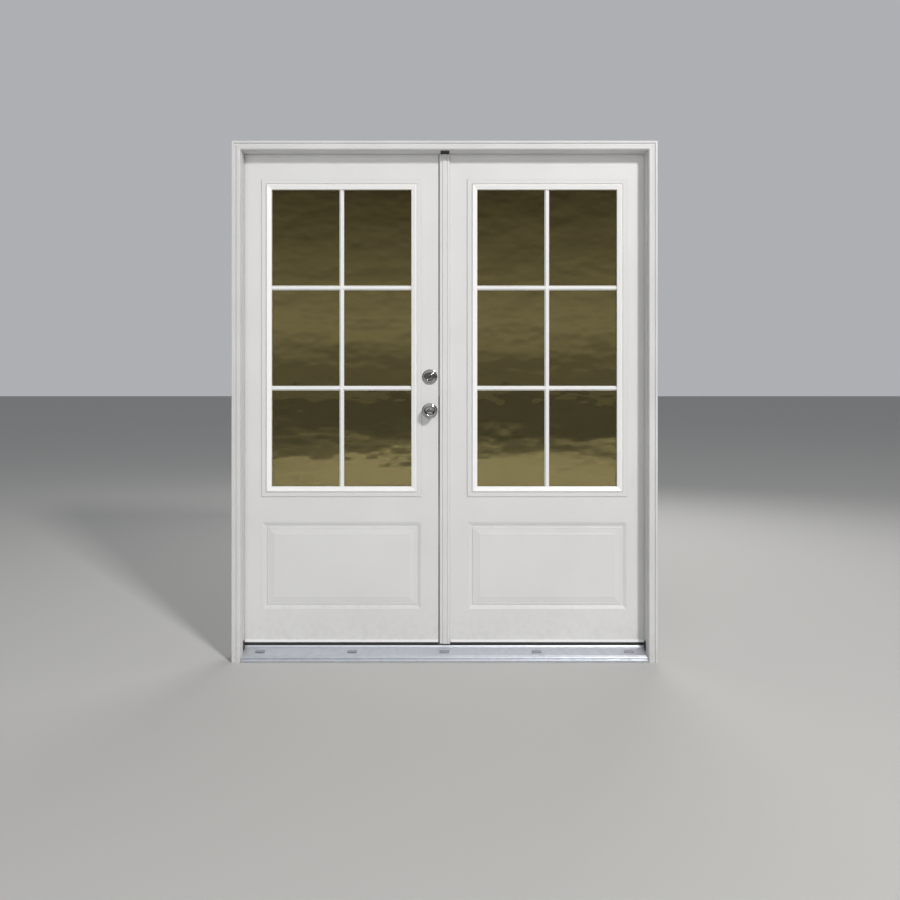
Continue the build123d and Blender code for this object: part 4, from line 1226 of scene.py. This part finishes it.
    def _key_plug(self, lathe: Lathe, metal: Material) -> Object:
        """Make the key plug with its slot.

        Args:
            lathe: The lathe on the outer face at the deadbolt's height.
            metal: The deadbolt's turned metal.

        Returns:
            The piece, not yet riding.
        """
        face, plug, tail, foot = self.collar_height - 0.0006, self.plug, self.tail, self.boss_foot
        outline = Outline((0.0, face), (0.0055, face), (plug - 0.0012, face))
        outline.bow((plug, face - 0.0010), 0.18, 4)
        outline.line((plug, foot), (tail, foot), (tail, self.tail_end), (0.0, self.tail_end))
        piece = finish_mesh("turned_key_plug", lathe.turn(outline), metal)
        slot = bmesh.new()
        heights = (face + self.slot_start, face - self.slot_depth)
        rings = [[lathe.spot(*corner, height) for corner in self.slot_outline] for height in heights]
        loft(slot, rings, capped=True)
        cutter = finish_mesh("key_slot_cutter", slot, metal)
        cut = piece.modifiers.new("slot", "BOOLEAN")
        cut.operation = "DIFFERENCE"
        cut.object = cutter
        mesh = applied(piece)
        piece.modifiers.remove(cut)
        piece.data = mesh
        bpy.data.objects.remove(cutter)
        return piece

    def _thumb_turn(self, lathe: Lathe, metal: Material) -> Object:
        """Make the thumb turn: a collar and an upright oval grip with a waist.

        Args:
            lathe: The lathe on the inner face at the deadbolt's height.
            metal: The deadbolt's turned metal.

        Returns:
            The piece, not yet riding.
        """
        base, plug, foot, socket = self.rose_height, self.plug, self.boss_foot, self.tail_socket
        outline = Outline((0.0, socket), (self.tail, socket), (self.tail, foot), (plug, foot))
        outline.line((plug, base + 0.0022)).bow((plug - 0.0022, base + 0.0044), 0.2, 5)
        outline.line((0.0, base + 0.0044))
        shape = lathe.turn(outline)
        rings = [
            [lathe.spot(*self._oval(i, tall, thick), base + height) for i in range(self.grip_segments)]
            for height, tall, thick in self.grip_layers
        ]
        loft(shape, rings, capped=True)
        return finish_mesh("oval_thumbturn", shape, metal)

    def _oval(self, i: int, tall: float, thick: float) -> Flat:
        """Point of the grip's outline.

        Args:
            i: The point's number.
            tall: Share of the full height.
            thick: Share of the full thickness.

        Returns:
            Its place across and along.
        """
        turn = 2 * math.pi * i / self.grip_segments
        cos, sin = math.cos(turn), math.sin(turn)
        across = self.grip_half[0] * thick * math.copysign(abs(cos) ** self.grip_fullness[0], cos)
        along = self.grip_half[1] * tall * math.copysign(abs(sin) ** self.grip_fullness[1], sin)
        return across, along


# Studio


@dataclass(frozen=True)
class Lamp:
    """One soft square lamp."""

    name: str
    place: Point
    target: Point
    size: float
    power: float
    colour: Colour
    mirrored: bool = False

    def hang(self) -> None:
        """Hang the lamp and turn it to its target."""
        data = bpy.data.lights.new(self.name, "AREA")
        data.size, data.energy, data.color = self.size, self.power, self.colour
        lamp = link(self.name, data)
        lamp.location = self.place
        lamp.rotation_euler = (Vector(self.target) - Vector(self.place)).to_track_quat("-Z", "Y").to_euler()
        lamp.visible_glossy = self.mirrored
        lamp.visible_transmission = False


@dataclass(frozen=True)
class Studio:
    """Floor, lamps, world and the camera."""

    camera_place: Point = (-0.047, -3.466, 1.203)
    focal_pixels: float = 839.5
    frame_pixels: float = 900.0
    sensor: float = 36.0
    clip: Flat = (0.05, 100.0)
    shift: Flat = (0.0189, -0.0933)
    floor_half: float = 30.0
    floor_colour: Colour = (0.60, 0.59, 0.57)
    surround: Colour = (0.21, 0.22, 0.232)
    backdrop: Colour = (0.42, 0.43, 0.45)
    room: Colour = (0.05, 0.045, 0.035)
    mirrored: tuple[tuple[float, Colour], ...] = (
        (0.0, (0.26, 0.255, 0.245)), (0.05, (0.50, 0.49, 0.46)), (0.12, (0.30, 0.29, 0.27)),
        (0.22, (0.11, 0.11, 0.10)), (0.38, (0.03, 0.03, 0.03)), (0.54, (0.90, 0.93, 0.98)),
        (1.0, (0.92, 0.95, 1.0)),
    )
    mirrored_aside: Colour = (0.012, 0.012, 0.012)
    aside_from: Flat = (0.28, 0.60)
    aside_below: Flat = (0.62, 0.42)
    lamps: tuple[Lamp, ...] = (
        Lamp("key_lamp", (3.85, -7.0, 6.1), (0.0, 0.0, 1.1), 1.0, 550.0, (1.0, 0.985, 0.965), True),
        Lamp("fill_lamp", (-2.4, -5.2, 2.3), (0.0, 0.0, 0.8), 3.2, 32.0, (0.95, 0.975, 1.0)),
        Lamp("low_lamp", (-0.8, -7.2, 2.2), (0.0, 0.0, 0.1), 3.2, 66.0, (0.97, 0.985, 1.0)),
        Lamp("indoor_lamp", (1.2, 3.4, 3.2), (0.0, 0.0, 1.0), 2.4, 75.0, (1.0, 0.99, 0.97)),
    )

    def build(self) -> None:
        """Set everything round the doors."""
        self._camera()
        self._floor()
        self._world()
        for lamp in self.lamps:
            lamp.hang()
        bpy.context.scene.view_settings.view_transform = "Standard"

    def _camera(self) -> None:
        """Stand the camera where the photograph was taken."""
        data = bpy.data.cameras.new("photo_camera")
        data.sensor_width = self.sensor
        data.lens = self.sensor * self.focal_pixels / self.frame_pixels
        data.shift_x, data.shift_y = self.shift
        data.clip_start, data.clip_end = self.clip
        camera = link("photo_camera", data)
        camera.location = self.camera_place
        camera.rotation_euler = (math.pi / 2, 0.0, 0.0)
        bpy.context.scene.camera = camera

    def _floor(self) -> None:
        """Lay the plain pale floor."""
        mesh = bpy.data.meshes.new("floor")
        half = self.floor_half
        corners = [(-half, -half, 0), (half, -half, 0), (half, half, 0), (-half, half, 0)]
        mesh.from_pydata(corners, [], [(0, 1, 2, 3)])
        material, sheet, shader = open_material("floor_paper")
        sheet.plug(shader, {"Base Color": (*self.floor_colour, 1.0), "Roughness": 0.8})
        mesh.materials.append(material)
        link("floor", mesh)

    def _world(self) -> None:
        """Light everything from a plain surround, with darker tones for what glass and metal mirror."""
        world = bpy.data.worlds.new("studio")
        bpy.context.scene.world = world
        world.use_nodes = True
        world.node_tree.nodes.clear()
        sheet = Sheet(world.node_tree)
        ray = sheet.add("ShaderNodeLightPath").outputs
        way = sheet.split(sheet.add("ShaderNodeTexCoord").outputs["Generated"])
        ramp = sheet.add("ShaderNodeValToRGB", {0: way["Z"]})
        for place, tone in self.mirrored[1:-1]:
            ramp.color_ramp.elements.new(place).color = (*tone, 1.0)
        for end in (0, -1):
            ramp.color_ramp.elements[end].color = (*self.mirrored[end][1], 1.0)
        sideways = sheet.window(sheet.math("ABSOLUTE", way["X"]), *self.aside_from)
        low = sheet.window(way["Z"], *self.aside_below)
        mirrored = sheet.mix(sheet.math("MULTIPLY", sideways, low), ramp.outputs[0], self.mirrored_aside)
        colour = sheet.mix(ray["Is Camera Ray"], self.surround, self.backdrop)
        colour = sheet.mix(ray["Is Transmission Ray"], colour, self.room)
        colour = sheet.mix(ray["Is Glossy Ray"], colour, mirrored)
        light = sheet.add("ShaderNodeBackground", {"Color": colour})
        sheet.add("ShaderNodeOutputWorld", {"Surface": light.outputs[0]})


def main() -> None:
    """Build and dress the doors, sub-assembly by sub-assembly."""
    logging.basicConfig(level=logging.INFO, format="%(name)s: %(message)s")
    palette = Palette()
    screws, plugs = ScrewRepeat(palette), PlugRepeat(palette)
    Studio().build()
    Doorway(palette, screws).build()
    Sill(palette).build()
    Leaf(palette, screws, plugs, Side.LEFT, "active").build()
    Leaf(palette, screws, plugs, Side.RIGHT, "inactive").build()
    MeetingPost(palette, screws).build()
    Lockset(palette, screws).build()


if __name__ == "__main__":
    main()
